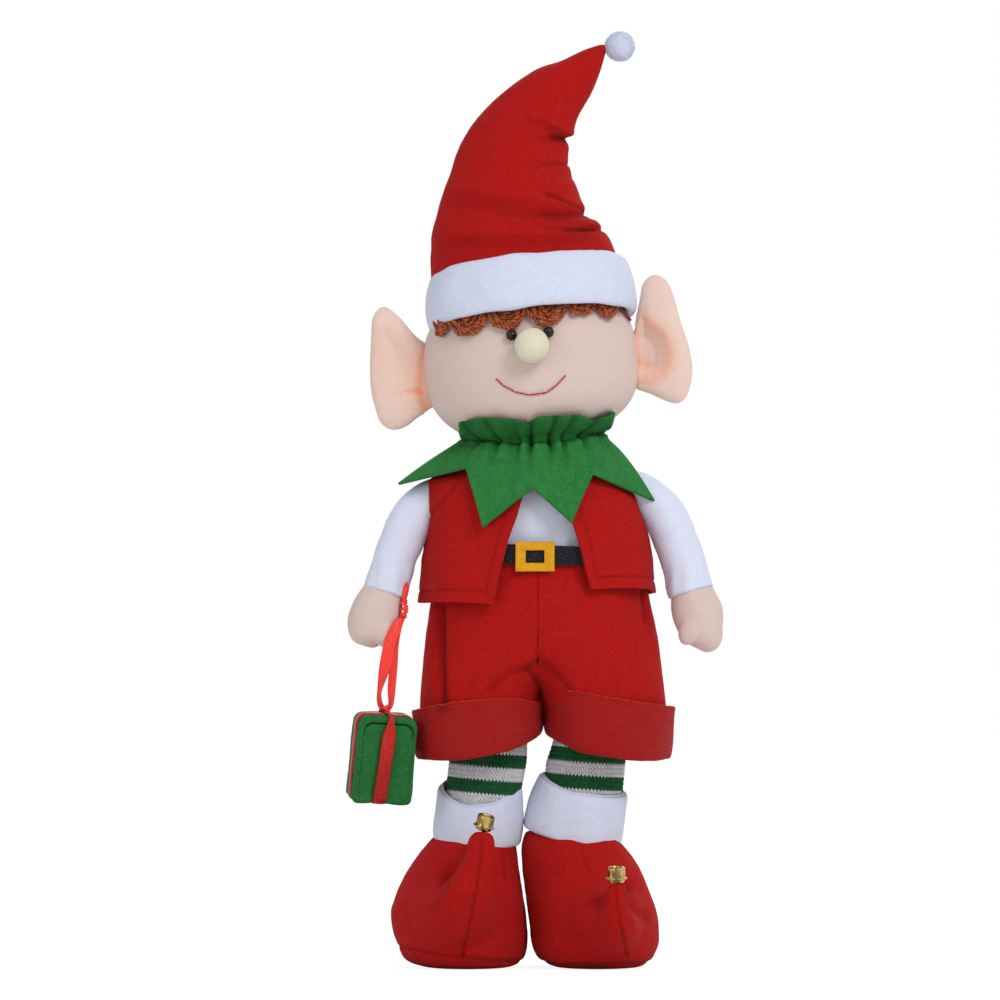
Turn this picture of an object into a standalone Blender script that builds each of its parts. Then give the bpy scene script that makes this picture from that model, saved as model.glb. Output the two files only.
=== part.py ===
"""Standing stuffed elf figurine: fleece suit and pointed hat, felt collar, striped stockings, bell boots and a gift.

Metres, +Z up, the face looks along -Y. Right and left are the figurine's own, so its right hand is at -X.
Station rows hold a centre (x, y, z) with a half width across and a half depth.
"""

import math

import bmesh
import bpy
from mathutils import Matrix, Vector
from mathutils.bvhtree import BVHTree

# Shared clearances and cloth thicknesses
SEAT_GAP = 0.0004
FELT = 0.0012
FLEECE = 0.0018
BASE_CENTRE = (0.0007, -0.0109)

# Head: a flattened stuffed ball that leans towards its right shoulder
HEAD_CENTRE = Vector((-0.0014, 0.0, 0.2904))
HEAD_HALF = Vector((0.0514, 0.0410, 0.0365))
HEAD_FULLNESS = 2.7
HEAD_LEAN = math.radians(5.9)

# Face: places are across and above the base, and the depth comes from the head
NOSE_PLACE, NOSE_RADIUS, NOSE_SINK = (-0.0010, 0.2986), 0.0092, 0.0020
EYE_PLACES, EYE_RADIUS, EYE_SINK = {"right": (-0.0106, 0.3034), "left": (0.0062, 0.3048)}, 0.0027, 0.0010
MOUTH_PATH = [(-0.0173, 0.2832), (-0.0125, 0.2794), (-0.0062, 0.2762), (0.0, 0.2748), (0.0067, 0.2760),
              (0.0110, 0.2796), (0.0154, 0.2842)]
MOUTH_THREAD = 0.0005

# Fringe: scallops of crocheted yarn, each from one x to the next, with its lowest height
FRINGE_EDGES = [-0.0470, -0.0414, -0.0226, -0.0040, 0.0150, 0.0298, 0.0405]
FRINGE_LOWS = [0.3030, 0.3048, 0.3066, 0.3084, 0.3132, 0.3122]
FRINGE_TOPS = [0.3046, 0.3078, 0.3126, 0.3154, 0.3170, 0.3174, 0.3160]
SCALLOP_DEPTH, LOOP_PITCH, YARN_RADIUS = 0.0030, 0.0052, 0.0011
ELASTIC_PATH, ELASTIC_RADIUS = [(0.0416, 0.3150), (0.0440, 0.3132), (0.0466, 0.3096)], 0.0009

# Ears: outlines seen from the front, sewn to the sides of the head
EAR_RIGHT = [(-0.0716, 0.3178), (-0.0771, 0.3140), (-0.0786, 0.3050), (-0.0790, 0.2930), (-0.0786, 0.2780),
             (-0.0760, 0.2670), (-0.0735, 0.2610), (-0.0682, 0.2580), (-0.0620, 0.2594), (-0.0556, 0.2640),
             (-0.0475, 0.2700), (-0.0455, 0.2840), (-0.0480, 0.2960), (-0.0570, 0.3040), (-0.0640, 0.3120)]
EAR_LEFT = [(0.0580, 0.3330), (0.0524, 0.3290), (0.0503, 0.3200), (0.0480, 0.3080), (0.0455, 0.2920),
            (0.0480, 0.2790), (0.0560, 0.2750), (0.0640, 0.2714), (0.0701, 0.2710), (0.0745, 0.2760),
            (0.0763, 0.2860), (0.0750, 0.2970), (0.0715, 0.3090), (0.0677, 0.3210), (0.0640, 0.3300)]
EAR_CENTRES = {"right": (-0.0650, 0.2850), "left": (0.0620, 0.2970)}
EAR_THICK, EAR_DISH = 0.0100, 0.0040

# Hat: a stuffed cone that bends over to the figurine's left
HAT_STATIONS = [(-0.0016, 0.0022, 0.3226, 0.0455, 0.0385), (-0.0068, 0.0036, 0.3395, 0.0440, 0.0370),
                (-0.0098, 0.0046, 0.3520, 0.0402, 0.0345), (-0.0106, 0.0054, 0.3610, 0.0368, 0.0320),
                (-0.0106, 0.0060, 0.3715, 0.0332, 0.0295), (-0.0096, 0.0066, 0.3840, 0.0288, 0.0260),
                (-0.0060, 0.0072, 0.3965, 0.0248, 0.0222), (0.0008, 0.0076, 0.4080, 0.0212, 0.0185),
                (0.0100, 0.0080, 0.4190, 0.0178, 0.0150), (0.0198, 0.0082, 0.4290, 0.0128, 0.0112),
                (0.0288, 0.0084, 0.4378, 0.0072, 0.0066), (0.0335, 0.0086, 0.4424, 0.0026, 0.0024)]
HAT_FOLDS = [(0.3520, 0.0034), (0.3715, 0.0036), (0.3975, 0.0040)]
HAT_FOLD_REACH = 0.0040
TRIM_CENTRE, TRIM_PITCH, TRIM_DEPTH = Vector((-0.0016, 0.0008, 0.3226)), math.radians(11), 0.86
TRIM_PROFILE = [(0.0430, 0.0118), (0.0452, 0.0132), (0.0476, 0.0112), (0.0498, 0.0050), (0.0508, -0.0020),
                (0.0506, -0.0090), (0.0490, -0.0128), (0.0466, -0.0134), (0.0446, -0.0110), (0.0432, 0.0)]
POMPOM_CENTRE, POMPOM_RADIUS = Vector((0.0413, 0.0090, 0.4427)), 0.0073

# Body and garments
TORSO_STATIONS = [(0.0040, 0.0, 0.1444, 0.0300, 0.0200), (0.0040, 0.0, 0.1500, 0.0390, 0.0270),
                  (0.0040, 0.0, 0.1580, 0.0440, 0.0315), (0.0036, 0.0, 0.1780, 0.0450, 0.0328),
                  (0.0032, 0.0, 0.1965, 0.0448, 0.0328), (0.0028, 0.0, 0.2140, 0.0448, 0.0326),
                  (0.0024, 0.0, 0.2250, 0.0426, 0.0310), (0.0018, 0.0, 0.2340, 0.0364, 0.0276),
                  (0.0012, 0.0, 0.2420, 0.0292, 0.0244), (0.0010, 0.0, 0.2480, 0.0262, 0.0232),
                  (0.0010, 0.0, 0.2526, 0.0150, 0.0140)]
BELT_HEIGHT, BELT_BOTTOM, BELT_SLOPE = 0.0100, 0.1935, math.radians(3.5)
BUCKLE_SIZE, BUCKLE_HOLE, BUCKLE_CENTRE = (0.0187, 0.0140), (0.0092, 0.0064), (0.0002, 0.1983)

# Trousers: hip rings, then two legs whose ends turn up outside as cuffs
HIP_RINGS = [(0.0034, 0.0, 0.1965, 0.0470, 0.0348), (0.0035, 0.0, 0.1890, 0.0474, 0.0350),
             (0.0036, 0.0, 0.1820, 0.0514, 0.0370),
             (0.0030, 0.0, 0.1720, 0.0534, 0.0380), (0.0038, 0.0, 0.1580, 0.0562, 0.0378)]
HIP_SIDES, HIP_SQUARE = 24, 2.4
PLEAT_ANGLES, PLEAT_WIDTH = (math.radians(64), math.radians(-64)), math.radians(9)
PLEAT_DEPTH, PLEAT_FADE = 0.07, 0.02
CROTCH_X, CROTCH_Z, CROTCH_STEPS, CROTCH_TUCK = 0.0020, 0.1395, 4, 0.8
LEG_SQUARE, LEG_OPENING = 2.2, math.radians(110)
LEG_RINGS = {"right": [(-0.0262, 0.0, 0.1350, 0.0271, 0.0345), (-0.0256, 0.0, 0.1220, 0.0278, 0.0320)],
             "left": [(0.0327, 0.0, 0.1350, 0.0290, 0.0345), (0.0345, 0.0, 0.1220, 0.0282, 0.0320)]}
CUFF_CENTRES, CUFF_HALF = {"right": -0.0264, "left": 0.0358}, (0.0297, 0.0345)
CUFF_BOTTOM, CUFF_HEIGHT, CUFF_INNER_RISE, CUFF_STANDOFF, CUFF_FLARE = 0.0998, 0.0270, 0.0120, 0.0027, 0.0012

# Vest: an open-fronted shell. Edge rows give a height and where the two front edges are
VEST_RINGS = [(0.0020, 0.0, 0.1720, 0.0558, 0.0425), (0.0019, 0.0, 0.1960, 0.0545, 0.0408),
              (0.0025, 0.0, 0.2140, 0.0510, 0.0380), (0.0024, 0.0, 0.2250, 0.0470, 0.0352),
              (0.0018, 0.0, 0.2340, 0.0410, 0.0318), (0.0012, 0.0, 0.2420, 0.0315, 0.0267)]
VEST_EDGES = [(0.1740, -0.0187, 0.0288), (0.1960, -0.0154, 0.0240), (0.2170, -0.0080, 0.0197),
              (0.2420, -0.0010, 0.0100)]
VEST_HEMS, VEST_TOP = {"right": 0.1740, "left": 0.1814}, 0.2415
VEST_COLUMNS, VEST_ROWS = 24, 5
ARMHOLE_PLACES = {"right": (-0.0700, 0.2155), "left": (0.0360, 0.2160)}
ARMHOLE_HALF, ARMHOLE_REACH = (0.0150, 0.0200), 0.0360

# Collar: one gathered felt strip, a ruffle above the neck line and six points below it
NECK_CENTRE, NECK_HALF = Vector((0.0010, 0.0, 0.2486)), (0.0288, 0.0258)
RUFFLE_HEIGHT, RUFFLE_FLARE, RUFFLE_WAVE, GATHER_WAVE = 0.0140, 0.0085, 0.0030, 0.0016
COLLAR_TIPS = [(-0.0648, -0.0100, 0.2330), (-0.0245, -0.0425, 0.2117), (0.0173, -0.0430, 0.2146),
               (0.0580, -0.0130, 0.2262), (0.0240, 0.0430, 0.2130), (-0.0220, 0.0430, 0.2130)]
COLLAR_VALLEYS = [(-0.0317, -0.0318, 0.2390), (-0.0005, -0.0405, 0.2320), (0.0270, -0.0345, 0.2380),
                  (0.0420, 0.0240, 0.2380), (0.0010, 0.0400, 0.2320), (-0.0400, 0.0240, 0.2380)]
COLLAR_NECK_ANGLES = [-52, 0, 52, 125, 180, 235]
COLLAR_SPREAD, COLLAR_CLEARANCE = 0.0085, 0.0009
POINT_COLUMNS, POINT_ROWS = 8, 3

# Arms and hands share one path each, split at the wrist
ARM_STATIONS = {
    "right": [(-0.0360, 0.0, 0.2270, 0.0080, 0.0085), (-0.0450, -0.0010, 0.2220, 0.0094, 0.0098),
              (-0.0560, -0.0030, 0.2150, 0.0098, 0.0102), (-0.0650, -0.0050, 0.2000, 0.0099, 0.0102),
              (-0.0715, -0.0070, 0.1800, 0.0104, 0.0104)],
    "left": [(0.0400, 0.0, 0.2290, 0.0080, 0.0085), (0.0500, -0.0010, 0.2235, 0.0094, 0.0098),
             (0.0610, -0.0030, 0.2150, 0.0098, 0.0102), (0.0700, -0.0050, 0.1990, 0.0101, 0.0102),
             (0.0755, -0.0070, 0.1805, 0.0106, 0.0104)],
}
HAND_STATIONS = {
    "right": [(-0.0716, -0.0070, 0.1806, 0.0098, 0.0098), (-0.0752, -0.0080, 0.1720, 0.0122, 0.0108),
              (-0.0778, -0.0090, 0.1640, 0.0122, 0.0100), (-0.0792, -0.0098, 0.1585, 0.0096, 0.0080),
              (-0.0798, -0.0102, 0.1545, 0.0040, 0.0036)],
    "left": [(0.0756, -0.0070, 0.1811, 0.0100, 0.0098), (0.0780, -0.0080, 0.1720, 0.0122, 0.0108),
             (0.0804, -0.0090, 0.1640, 0.0112, 0.0100), (0.0834, -0.0098, 0.1570, 0.0074, 0.0070),
             (0.0850, -0.0102, 0.1525, 0.0030, 0.0030)],
}
THUMBS = {"right": (Vector((-0.0730, -0.0150, 0.1620)), Vector((0.0050, 0.0042, 0.0085)), -0.3),
          "left": (Vector((0.0760, -0.0150, 0.1630)), Vector((0.0050, 0.0042, 0.0085)), 0.5)}

# Legs, boots and bells
LEG_STATIONS = {"right": [(-0.0268, 0.0010, 0.0640, 0.0174, 0.0174), (-0.0245, 0.0, 0.0830, 0.0174, 0.0174),
                          (-0.0221, 0.0, 0.0990, 0.0180, 0.0180), (-0.0214, 0.0, 0.1440, 0.0180, 0.0180)],
                "left": [(0.0190, 0.0010, 0.0640, 0.0180, 0.0180), (0.0240, 0.0, 0.0860, 0.0182, 0.0182),
                         (0.0249, 0.0, 0.0980, 0.0184, 0.0184), (0.0268, 0.0, 0.1080, 0.0168, 0.0176),
                         (0.0285, 0.0, 0.1440, 0.0165, 0.0175)]}
BAND_PLACES = {"right": (Vector((-0.0266, 0.0008, 0.0738)), math.radians(9), math.radians(3), 1.0),
               "left": (Vector((0.0205, 0.0008, 0.0752)), math.radians(7), math.radians(14), 1.1)}
BAND_PROFILE = [(0.0172, 0.0124), (0.0186, 0.0136), (0.0200, 0.0120), (0.0208, 0.0050), (0.0214, -0.0030),
                (0.0210, -0.0100), (0.0198, -0.0128), (0.0184, -0.0132), (0.0172, -0.0110)]
SOLE_HEIGHT = 0.0066
BOOT_STATIONS = {
    "right": [(-0.0366, -0.0040, 0.0000, 0.0312, 0.0420), (-0.0362, -0.0045, 0.0182, 0.0328, 0.0420),
              (-0.0352, -0.0040, 0.0326, 0.0308, 0.0370), (-0.0326, -0.0010, 0.0480, 0.0262, 0.0285),
              (-0.0300, 0.0010, 0.0590, 0.0214, 0.0220), (-0.0276, 0.0010, 0.0636, 0.0180, 0.0185)],
    "left": [(0.0292, -0.0040, 0.0000, 0.0306, 0.0420), (0.0292, -0.0045, 0.0182, 0.0312, 0.0420),
             (0.0270, -0.0040, 0.0326, 0.0308, 0.0370), (0.0236, -0.0010, 0.0480, 0.0282, 0.0295),
             (0.0196, 0.0010, 0.0590, 0.0236, 0.0230), (0.0186, 0.0010, 0.0636, 0.0190, 0.0185)],
}
TOE_STATIONS = {
    "right": [(-0.0365, -0.0100, 0.0262, 0.0250, 0.0180), (-0.0365, -0.0290, 0.0262, 0.0240, 0.0180),
              (-0.0350, -0.0430, 0.0280, 0.0180, 0.0155), (-0.0322, -0.0520, 0.0380, 0.0128, 0.0115),
              (-0.0284, -0.0546, 0.0490, 0.0094, 0.0085), (-0.0260, -0.0542, 0.0575, 0.0074, 0.0068),
              (-0.0250, -0.0536, 0.0628, 0.0060, 0.0056), (-0.0246, -0.0532, 0.0651, 0.0034, 0.0034)],
    "left": [(0.0290, -0.0100, 0.0258, 0.0250, 0.0175), (0.0320, -0.0290, 0.0248, 0.0225, 0.0165),
             (0.0362, -0.0440, 0.0220, 0.0160, 0.0140), (0.0390, -0.0545, 0.0250, 0.0100, 0.0098),
             (0.0396, -0.0586, 0.0315, 0.0070, 0.0074), (0.0394, -0.0590, 0.0380, 0.0058, 0.0060),
             (0.0391, -0.0588, 0.0411, 0.0034, 0.0034)],
}
BELL_LEAN = {"right": math.radians(14), "left": 0.0}
BELL_RADIUS, BELL_FLANGE, BELL_TOP, BELL_WALL = 0.0042, 0.0052, 0.0080, 0.0005
BELL_BASE, BELL_BRIM, BELL_SHOULDER, BELL_STEM = 0.0036, 0.0022, 0.0012, 0.0008
BELL_SLOT, PELLET_RADIUS = 0.0012, 0.0015

# Gift: a felt-covered block with two crossed ribbons, hung from the right hand
GIFT_CENTRE, GIFT_SIZE = Vector((-0.0728, -0.0200, 0.1013)), Vector((0.0284, 0.0220, 0.0418))
GIFT_TURN, GIFT_LEAN, GIFT_EDGE = math.radians(12), math.radians(4), 0.0035
RIBBON_WIDTH, RIBBON = 0.0062, 0.0005
HANG_PATH = [(-0.0713, -0.0222, 0.1264), (-0.0690, -0.0226, 0.1330), (-0.0682, -0.0226, 0.1430),
             (-0.0680, -0.0222, 0.1530), (-0.0662, -0.0208, 0.1620), (-0.0632, -0.0166, 0.1700),
             (-0.0622, -0.0140, 0.1740), (-0.0626, -0.0124, 0.1748), (-0.0634, -0.0126, 0.1700),
             (-0.0672, -0.0186, 0.1620), (-0.0706, -0.0198, 0.1530), (-0.0724, -0.0200, 0.1430),
             (-0.0738, -0.0196, 0.1330), (-0.0717, -0.0188, 0.1264), (-0.0715, -0.0206, 0.1250)]
HANG_WIDTH = 0.0046
HANG_KNOT, HANG_KNOT_HALF = Vector((-0.0623, -0.0138, 0.1738)), (0.0028, 0.0026, 0.0032)
HANG_TAIL = [(-0.0623, -0.0142, 0.1752), (-0.0618, -0.0136, 0.1790), (-0.0612, -0.0128, 0.1830)]


def clear_scene():
    for obj in list(bpy.data.objects):
        bpy.data.objects.remove(obj)


def collection(name):
    made = bpy.data.collections.new(name)
    bpy.context.scene.collection.children.link(made)
    return made


def material(name, colour, roughness, metallic=0.0):
    made = bpy.data.materials.new(name)
    made.use_nodes = True
    shader = made.node_tree.nodes["Principled BSDF"]
    shader.inputs["Base Color"].default_value = (*colour, 1.0)
    shader.inputs["Roughness"].default_value = roughness
    shader.inputs["Metallic"].default_value = metallic
    return made


def finished(name, mesh, finish, origin=(0, 0, 0)):
    """A node of the figurine, with its own origin at the point given and its mesh left where it is."""
    mesh.transform(Matrix.Translation(-Vector(origin)))
    mesh.name = name
    mesh.materials.clear()
    mesh.materials.append(finish)
    mesh.shade_smooth()
    mesh.set_sharp_from_angle(angle=math.radians(50))
    obj = bpy.data.objects.new(name, mesh)
    obj.location = origin
    obj.parent = root
    parts.objects.link(obj)
    return obj


def from_bmesh(name, bm, finish, origin=(0, 0, 0)):
    bmesh.ops.recalc_face_normals(bm, faces=bm.faces)
    mesh = bpy.data.meshes.new(name)
    bm.to_mesh(mesh)
    bm.free()
    return finished(name, mesh, finish, origin)


def baked(obj):
    """The object's mesh with its modifiers applied, placed in the figurine's frame."""
    bpy.context.view_layer.update()
    mesh = bpy.data.meshes.new_from_object(obj.evaluated_get(bpy.context.evaluated_depsgraph_get()))
    mesh.transform(obj.matrix_world)
    return mesh


def grown_cutter(carrier, by):
    """A hidden copy of the carrier, thicker by the clearance, that shapes what is pressed or sewn on it."""
    bm = bmesh.new()
    bm.from_mesh(baked(carrier))
    bm.normal_update()
    moves = [vert.normal * by for vert in bm.verts]
    for vert, move in zip(bm.verts, moves):
        vert.co += move
    mesh = bpy.data.meshes.new(carrier.name + "_seat")
    bm.to_mesh(mesh)
    bm.free()
    cutter = bpy.data.objects.new(mesh.name, mesh)
    cutter.parent = root
    cutter.hide_render = True
    cutter.display_type = "WIRE"
    cutters.objects.link(cutter)
    return cutter


def boolean(obj, operation, other, solver="EXACT"):
    modifier = obj.modifiers.new(operation.title() + "_" + other.name, "BOOLEAN")
    modifier.operation = operation
    modifier.object = other
    modifier.solver = solver


def seat(obj, *carriers, gap=SEAT_GAP):
    """Cuts the object where it would enter its carriers, so that it rests on each with the seat gap."""
    for carrier in carriers:
        boolean(obj, "DIFFERENCE", grown_cutter(carrier, gap))


def as_cutter(obj):
    parts.objects.unlink(obj)
    cutters.objects.link(obj)
    obj.hide_render = True
    obj.display_type = "WIRE"
    return obj


def joined(obj, *others, solver="EXACT"):
    """Adds stuffed forms to the object as one solid. The added forms stay as hidden cutters."""
    for other in others:
        boolean(obj, "UNION", as_cutter(other), solver)
    return obj


def smooth_rows(rows, steps):
    """Rows of numbers read along a smooth curve through them, with this many steps for each span."""
    padded = [rows[0], *rows, rows[-1]]
    read = []
    for a, b, c, d in zip(padded, padded[1:], padded[2:], padded[3:]):
        for step in range(steps):
            t = step / steps
            read.append([0.5 * (2 * q + (r - p) * t + (2 * p - 5 * q + 4 * r - s) * t * t
                                + (3 * q - p - 3 * r + s) * t ** 3) for p, q, r, s in zip(a, b, c, d)])
    return read + [list(rows[-1])]


def row_at(rows, value, key=2):
    """A row of a station list at a given height, by straight interpolation."""
    ordered = sorted(rows, key=lambda row: row[key])
    value = min(max(value, ordered[0][key]), ordered[-1][key])
    for low, high in zip(ordered, ordered[1:]):
        if value <= high[key]:
            share = (value - low[key]) / (high[key] - low[key])
            return [p + (q - p) * share for p, q in zip(low, high)]
    return list(ordered[-1])


def oval(angle, power):
    """A point of the unit superellipse. Angle 0 is the front, and a quarter turn is the left side."""
    s, c = math.sin(angle), math.cos(angle)
    return (math.copysign(abs(s) ** (2 / power), s), -math.copysign(abs(c) ** (2 / power), c))


def oval_angle(across, power):
    """The angle, at the front, where the unit superellipse is this far across."""
    return math.copysign(math.asin(abs(across) ** (power / 2)), across)


def ring_points(centre, across, depth, half_width, half_depth, sides, power):
    points = []
    for i in range(sides):
        u, v = oval(2 * math.pi * i / sides, power)
        points.append(centre + across * (u * half_width) + depth * (v * half_depth))
    return points


def skinned(rings, closed=False):
    """A skin over rings of points. It is capped at both ends, or runs round to its start when closed."""
    bm = bmesh.new()
    rows = [[bm.verts.new(point) for point in ring] for ring in rings]
    pairs = list(zip(rows, rows[1:])) + ([(rows[-1], rows[0])] if closed else [])
    for low, high in pairs:
        for i in range(len(low)):
            j = (i + 1) % len(low)
            bm.faces.new((low[i], low[j], high[j], high[i]))
    if not closed:
        bm.faces.new(rows[0][::-1])
        bm.faces.new(rows[-1])
    return bm


def level_form(name, stations, steps, sides, finish, power=2.0):
    """A stuffed form made of level ovals, one above the other."""
    rings = [ring_points(Vector(row[:3]), Vector((1, 0, 0)), Vector((0, 1, 0)), row[3], row[4], sides, power)
             for row in smooth_rows(stations, steps)]
    return from_bmesh(name, skinned(rings), finish, stations[0][:3])


def swept_form(name, stations, steps, sides, finish, power=2.0, bulge=None):
    """A stuffed form whose ovals stand square to the curve through the stations."""
    rows = smooth_rows(stations, steps)
    rings = []
    for i, row in enumerate(rows):
        centre = Vector(row[:3])
        ahead, behind = Vector(rows[min(i + 1, len(rows) - 1)][:3]), Vector(rows[max(i - 1, 0)][:3])
        along = (ahead - behind).normalized()
        across = (Vector((1, 0, 0)) - along * along.x).normalized()
        ring = ring_points(centre, across, along.cross(across), row[3], row[4], sides, power)
        if bulge:
            ring = [point + bulge(point, (point - centre).normalized()) for point in ring]
        rings.append(ring)
    return from_bmesh(name, skinned(rings), finish, stations[0][:3])


def ball(name, centre, half, finish, segments=20, rows=12, power=2.0, turn=None):
    """A ball primitive, stretched to its half sizes. A power above 2 fills it towards a cushion."""
    bm = bmesh.new()
    bmesh.ops.create_uvsphere(bm, u_segments=segments, v_segments=rows, radius=1.0)
    for vert in bm.verts:
        flat = math.hypot(vert.co.x, vert.co.y)
        grown = flat ** (2 / power - 1) if flat > 1e-6 else 1.0
        height = math.copysign(abs(vert.co.z) ** (2 / power), vert.co.z)
        vert.co = Vector((vert.co.x * grown * half[0], vert.co.y * grown * half[1], height * half[2]))
    if turn:
        bmesh.ops.rotate(bm, verts=bm.verts, matrix=turn)
    bmesh.ops.translate(bm, verts=bm.verts, vec=centre)
    return from_bmesh(name, bm, finish, centre)


def turned_ring(name, profile, sides):
    """A closed profile of (radius, height) points spun round +Z by a Screw modifier, then made a mesh."""
    mesh = bpy.data.meshes.new(name)
    points = [(radius, 0.0, height) for radius, height in profile]
    mesh.from_pydata(points, [(i, (i + 1) % len(points)) for i in range(len(points))], [])
    obj = bpy.data.objects.new(name, mesh)
    parts.objects.link(obj)
    screw = obj.modifiers.new("Turn", "SCREW")
    screw.steps = screw.render_steps = sides
    screw.use_merge_vertices = True
    screw.merge_threshold = 0.00001
    made = baked(obj)
    bpy.data.objects.remove(obj)
    bm = bmesh.new()
    bm.from_mesh(made)
    return bm


def placed_ring(name, profile, sides, finish, centre, turn, depth=1.0, width=1.0, power=2.0):
    """A turned ring, pressed to a superellipse, tipped by the rotation and put at its centre."""
    bm = turned_ring(name, profile, sides)
    for vert in bm.verts:
        radius = math.hypot(vert.co.x, vert.co.y)
        fuller = (abs(vert.co.x / radius) ** power + abs(vert.co.y / radius) ** power) ** (-1 / power)
        vert.co.x *= fuller
        vert.co.y *= fuller
    bmesh.ops.scale(bm, vec=(width, depth, 1.0), verts=bm.verts)
    bmesh.ops.rotate(bm, verts=bm.verts, matrix=turn)
    bmesh.ops.translate(bm, verts=bm.verts, vec=centre)
    return from_bmesh(name, bm, finish, centre)


def cord(name, points, radius, finish):
    """Yarn or thread: a round curve through the points, with filled ends."""
    data = bpy.data.curves.new(name, "CURVE")
    data.dimensions = "3D"
    data.bevel_depth = radius
    data.bevel_resolution = 0
    data.use_fill_caps = True
    spline = data.splines.new("POLY")
    spline.points.add(len(points) - 1)
    for i, point in enumerate(points):
        spline.points[i].co = (*point, 1.0)
    data.materials.append(finish)
    obj = bpy.data.objects.new(name, data)
    obj.parent = root
    parts.objects.link(obj)


def strap(name, points, width_axis, width, thickness, finish, closed=True):
    """A flat ribbon of rectangular section through the points, its width kept near the axis given."""
    last = len(points) - 1
    rings = []
    for i, point in enumerate(points):
        ahead = points[(i + 1) % len(points)] if closed else points[min(i + 1, last)]
        behind = points[i - 1] if closed else points[max(i - 1, 0)]
        along = (Vector(ahead) - Vector(behind)).normalized()
        across = (Vector(width_axis) - along * along.dot(Vector(width_axis))).normalized()
        flat = across.cross(along)
        rings.append([Vector(point) + across * (u * width / 2) + flat * (v * thickness / 2)
                      for u, v in ((-1, -1), (1, -1), (1, 1), (-1, 1))])
    return from_bmesh(name, skinned(rings, closed), finish, points[0])


def head_surface(x, z, off=0.0):
    """The point of the face at this place across and above the base, stood off the head by a distance."""
    c, s = math.cos(HEAD_LEAN), math.sin(HEAD_LEAN)
    dx, dz = x - HEAD_CENTRE.x, z - HEAD_CENTRE.z
    across, up = dx * c + dz * s, dz * c - dx * s
    half = HEAD_HALF + Vector((off, off, off))
    level = max(1 - abs(up / half.z) ** HEAD_FULLNESS, 0.0) ** (2 / HEAD_FULLNESS)
    depth = half.y * math.sqrt(max(level - (across / half.x) ** 2, 0.0))
    return Vector((x, HEAD_CENTRE.y - depth, z))


def clear_of_head(point, off):
    """Moves a point level outwards until it is this far outside the head."""
    turn = Matrix.Rotation(HEAD_LEAN, 3, "Y")
    local = turn @ (Vector(point) - HEAD_CENTRE)
    half = HEAD_HALF + Vector((off, off, off))
    level = 1 - abs(local.z / half.z) ** HEAD_FULLNESS
    if level <= 0:
        return Vector(point)
    reach = math.hypot(local.x / half.x, local.y / half.y)
    wanted = level ** (1 / HEAD_FULLNESS)
    if reach >= wanted or reach < 1e-6:
        return Vector(point)
    local.x *= wanted / reach
    local.y *= wanted / reach
    return turn.inverted() @ local + HEAD_CENTRE


def stuffed_panel(name, outline, middle, thick, dish, finish):
    """Two panels sewn round an outline and stuffed: a round back, and a front that dips inside its rim."""
    rim = [row[:2] for row in smooth_rows([*outline, outline[0]], 2)[:-1]]
    rings = []
    for share, front in [(0.20, True), (0.60, True), (0.90, True), (1.0, None), (0.90, False), (0.55, False)]:
        ring = []
        for x, z in rim:
            px, pz = middle[0] + (x - middle[0]) * share, middle[1] + (z - middle[1]) * share
            swell = math.sqrt(max(1 - share ** 4, 0.0)) * thick / 2
            y = 0.0 if front is None else (dish * (1 - share ** 2) * 1.6 - swell if front else swell)
            ring.append(Vector((px, y, pz)))
        rings.append(ring)
    return from_bmesh(name, skinned(rings), finish, (middle[0], 0, middle[1]))


def make_head(cloth):
    head = ball("head", HEAD_CENTRE, HEAD_HALF, cloth["skin"], 24, 14, HEAD_FULLNESS,
                Matrix.Rotation(-HEAD_LEAN, 3, "Y"))
    for side, outline in (("right", EAR_RIGHT), ("left", EAR_LEFT)):
        ear = stuffed_panel("ear_" + side, outline, EAR_CENTRES[side], EAR_THICK, EAR_DISH, cloth["skin"])
        seat(ear, head)
    nose_centre = head_surface(*NOSE_PLACE, NOSE_RADIUS - NOSE_SINK)
    nose = ball("nose", nose_centre, (NOSE_RADIUS,) * 3, cloth["cream"], 14, 8)
    seat(nose, head)
    for side, place in EYE_PLACES.items():
        eye = ball("eye_" + side, head_surface(*place, EYE_RADIUS - EYE_SINK), (EYE_RADIUS,) * 3, cloth["bead"],
                   10, 6)
        seat(eye, head, nose)
    mouth = [head_surface(x, z, MOUTH_THREAD + SEAT_GAP) for x, z in smooth_rows(MOUTH_PATH, 2)]
    cord("mouth", mouth, MOUTH_THREAD, cloth["thread"])
    return head


def fringe_reach(x):
    """The heights of the fringe's root and of its scalloped edge at this place across."""
    last = len(FRINGE_LOWS) - 1
    i = next((k for k in range(last) if x <= FRINGE_EDGES[k + 1]), last)
    share = min(max((x - FRINGE_EDGES[i]) / (FRINGE_EDGES[i + 1] - FRINGE_EDGES[i]), 0.0), 1.0)
    top = FRINGE_TOPS[i] + (FRINGE_TOPS[i + 1] - FRINGE_TOPS[i]) * share
    return top, FRINGE_LOWS[i] + (1 - math.sin(math.pi * share) ** 0.6) * SCALLOP_DEPTH


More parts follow.
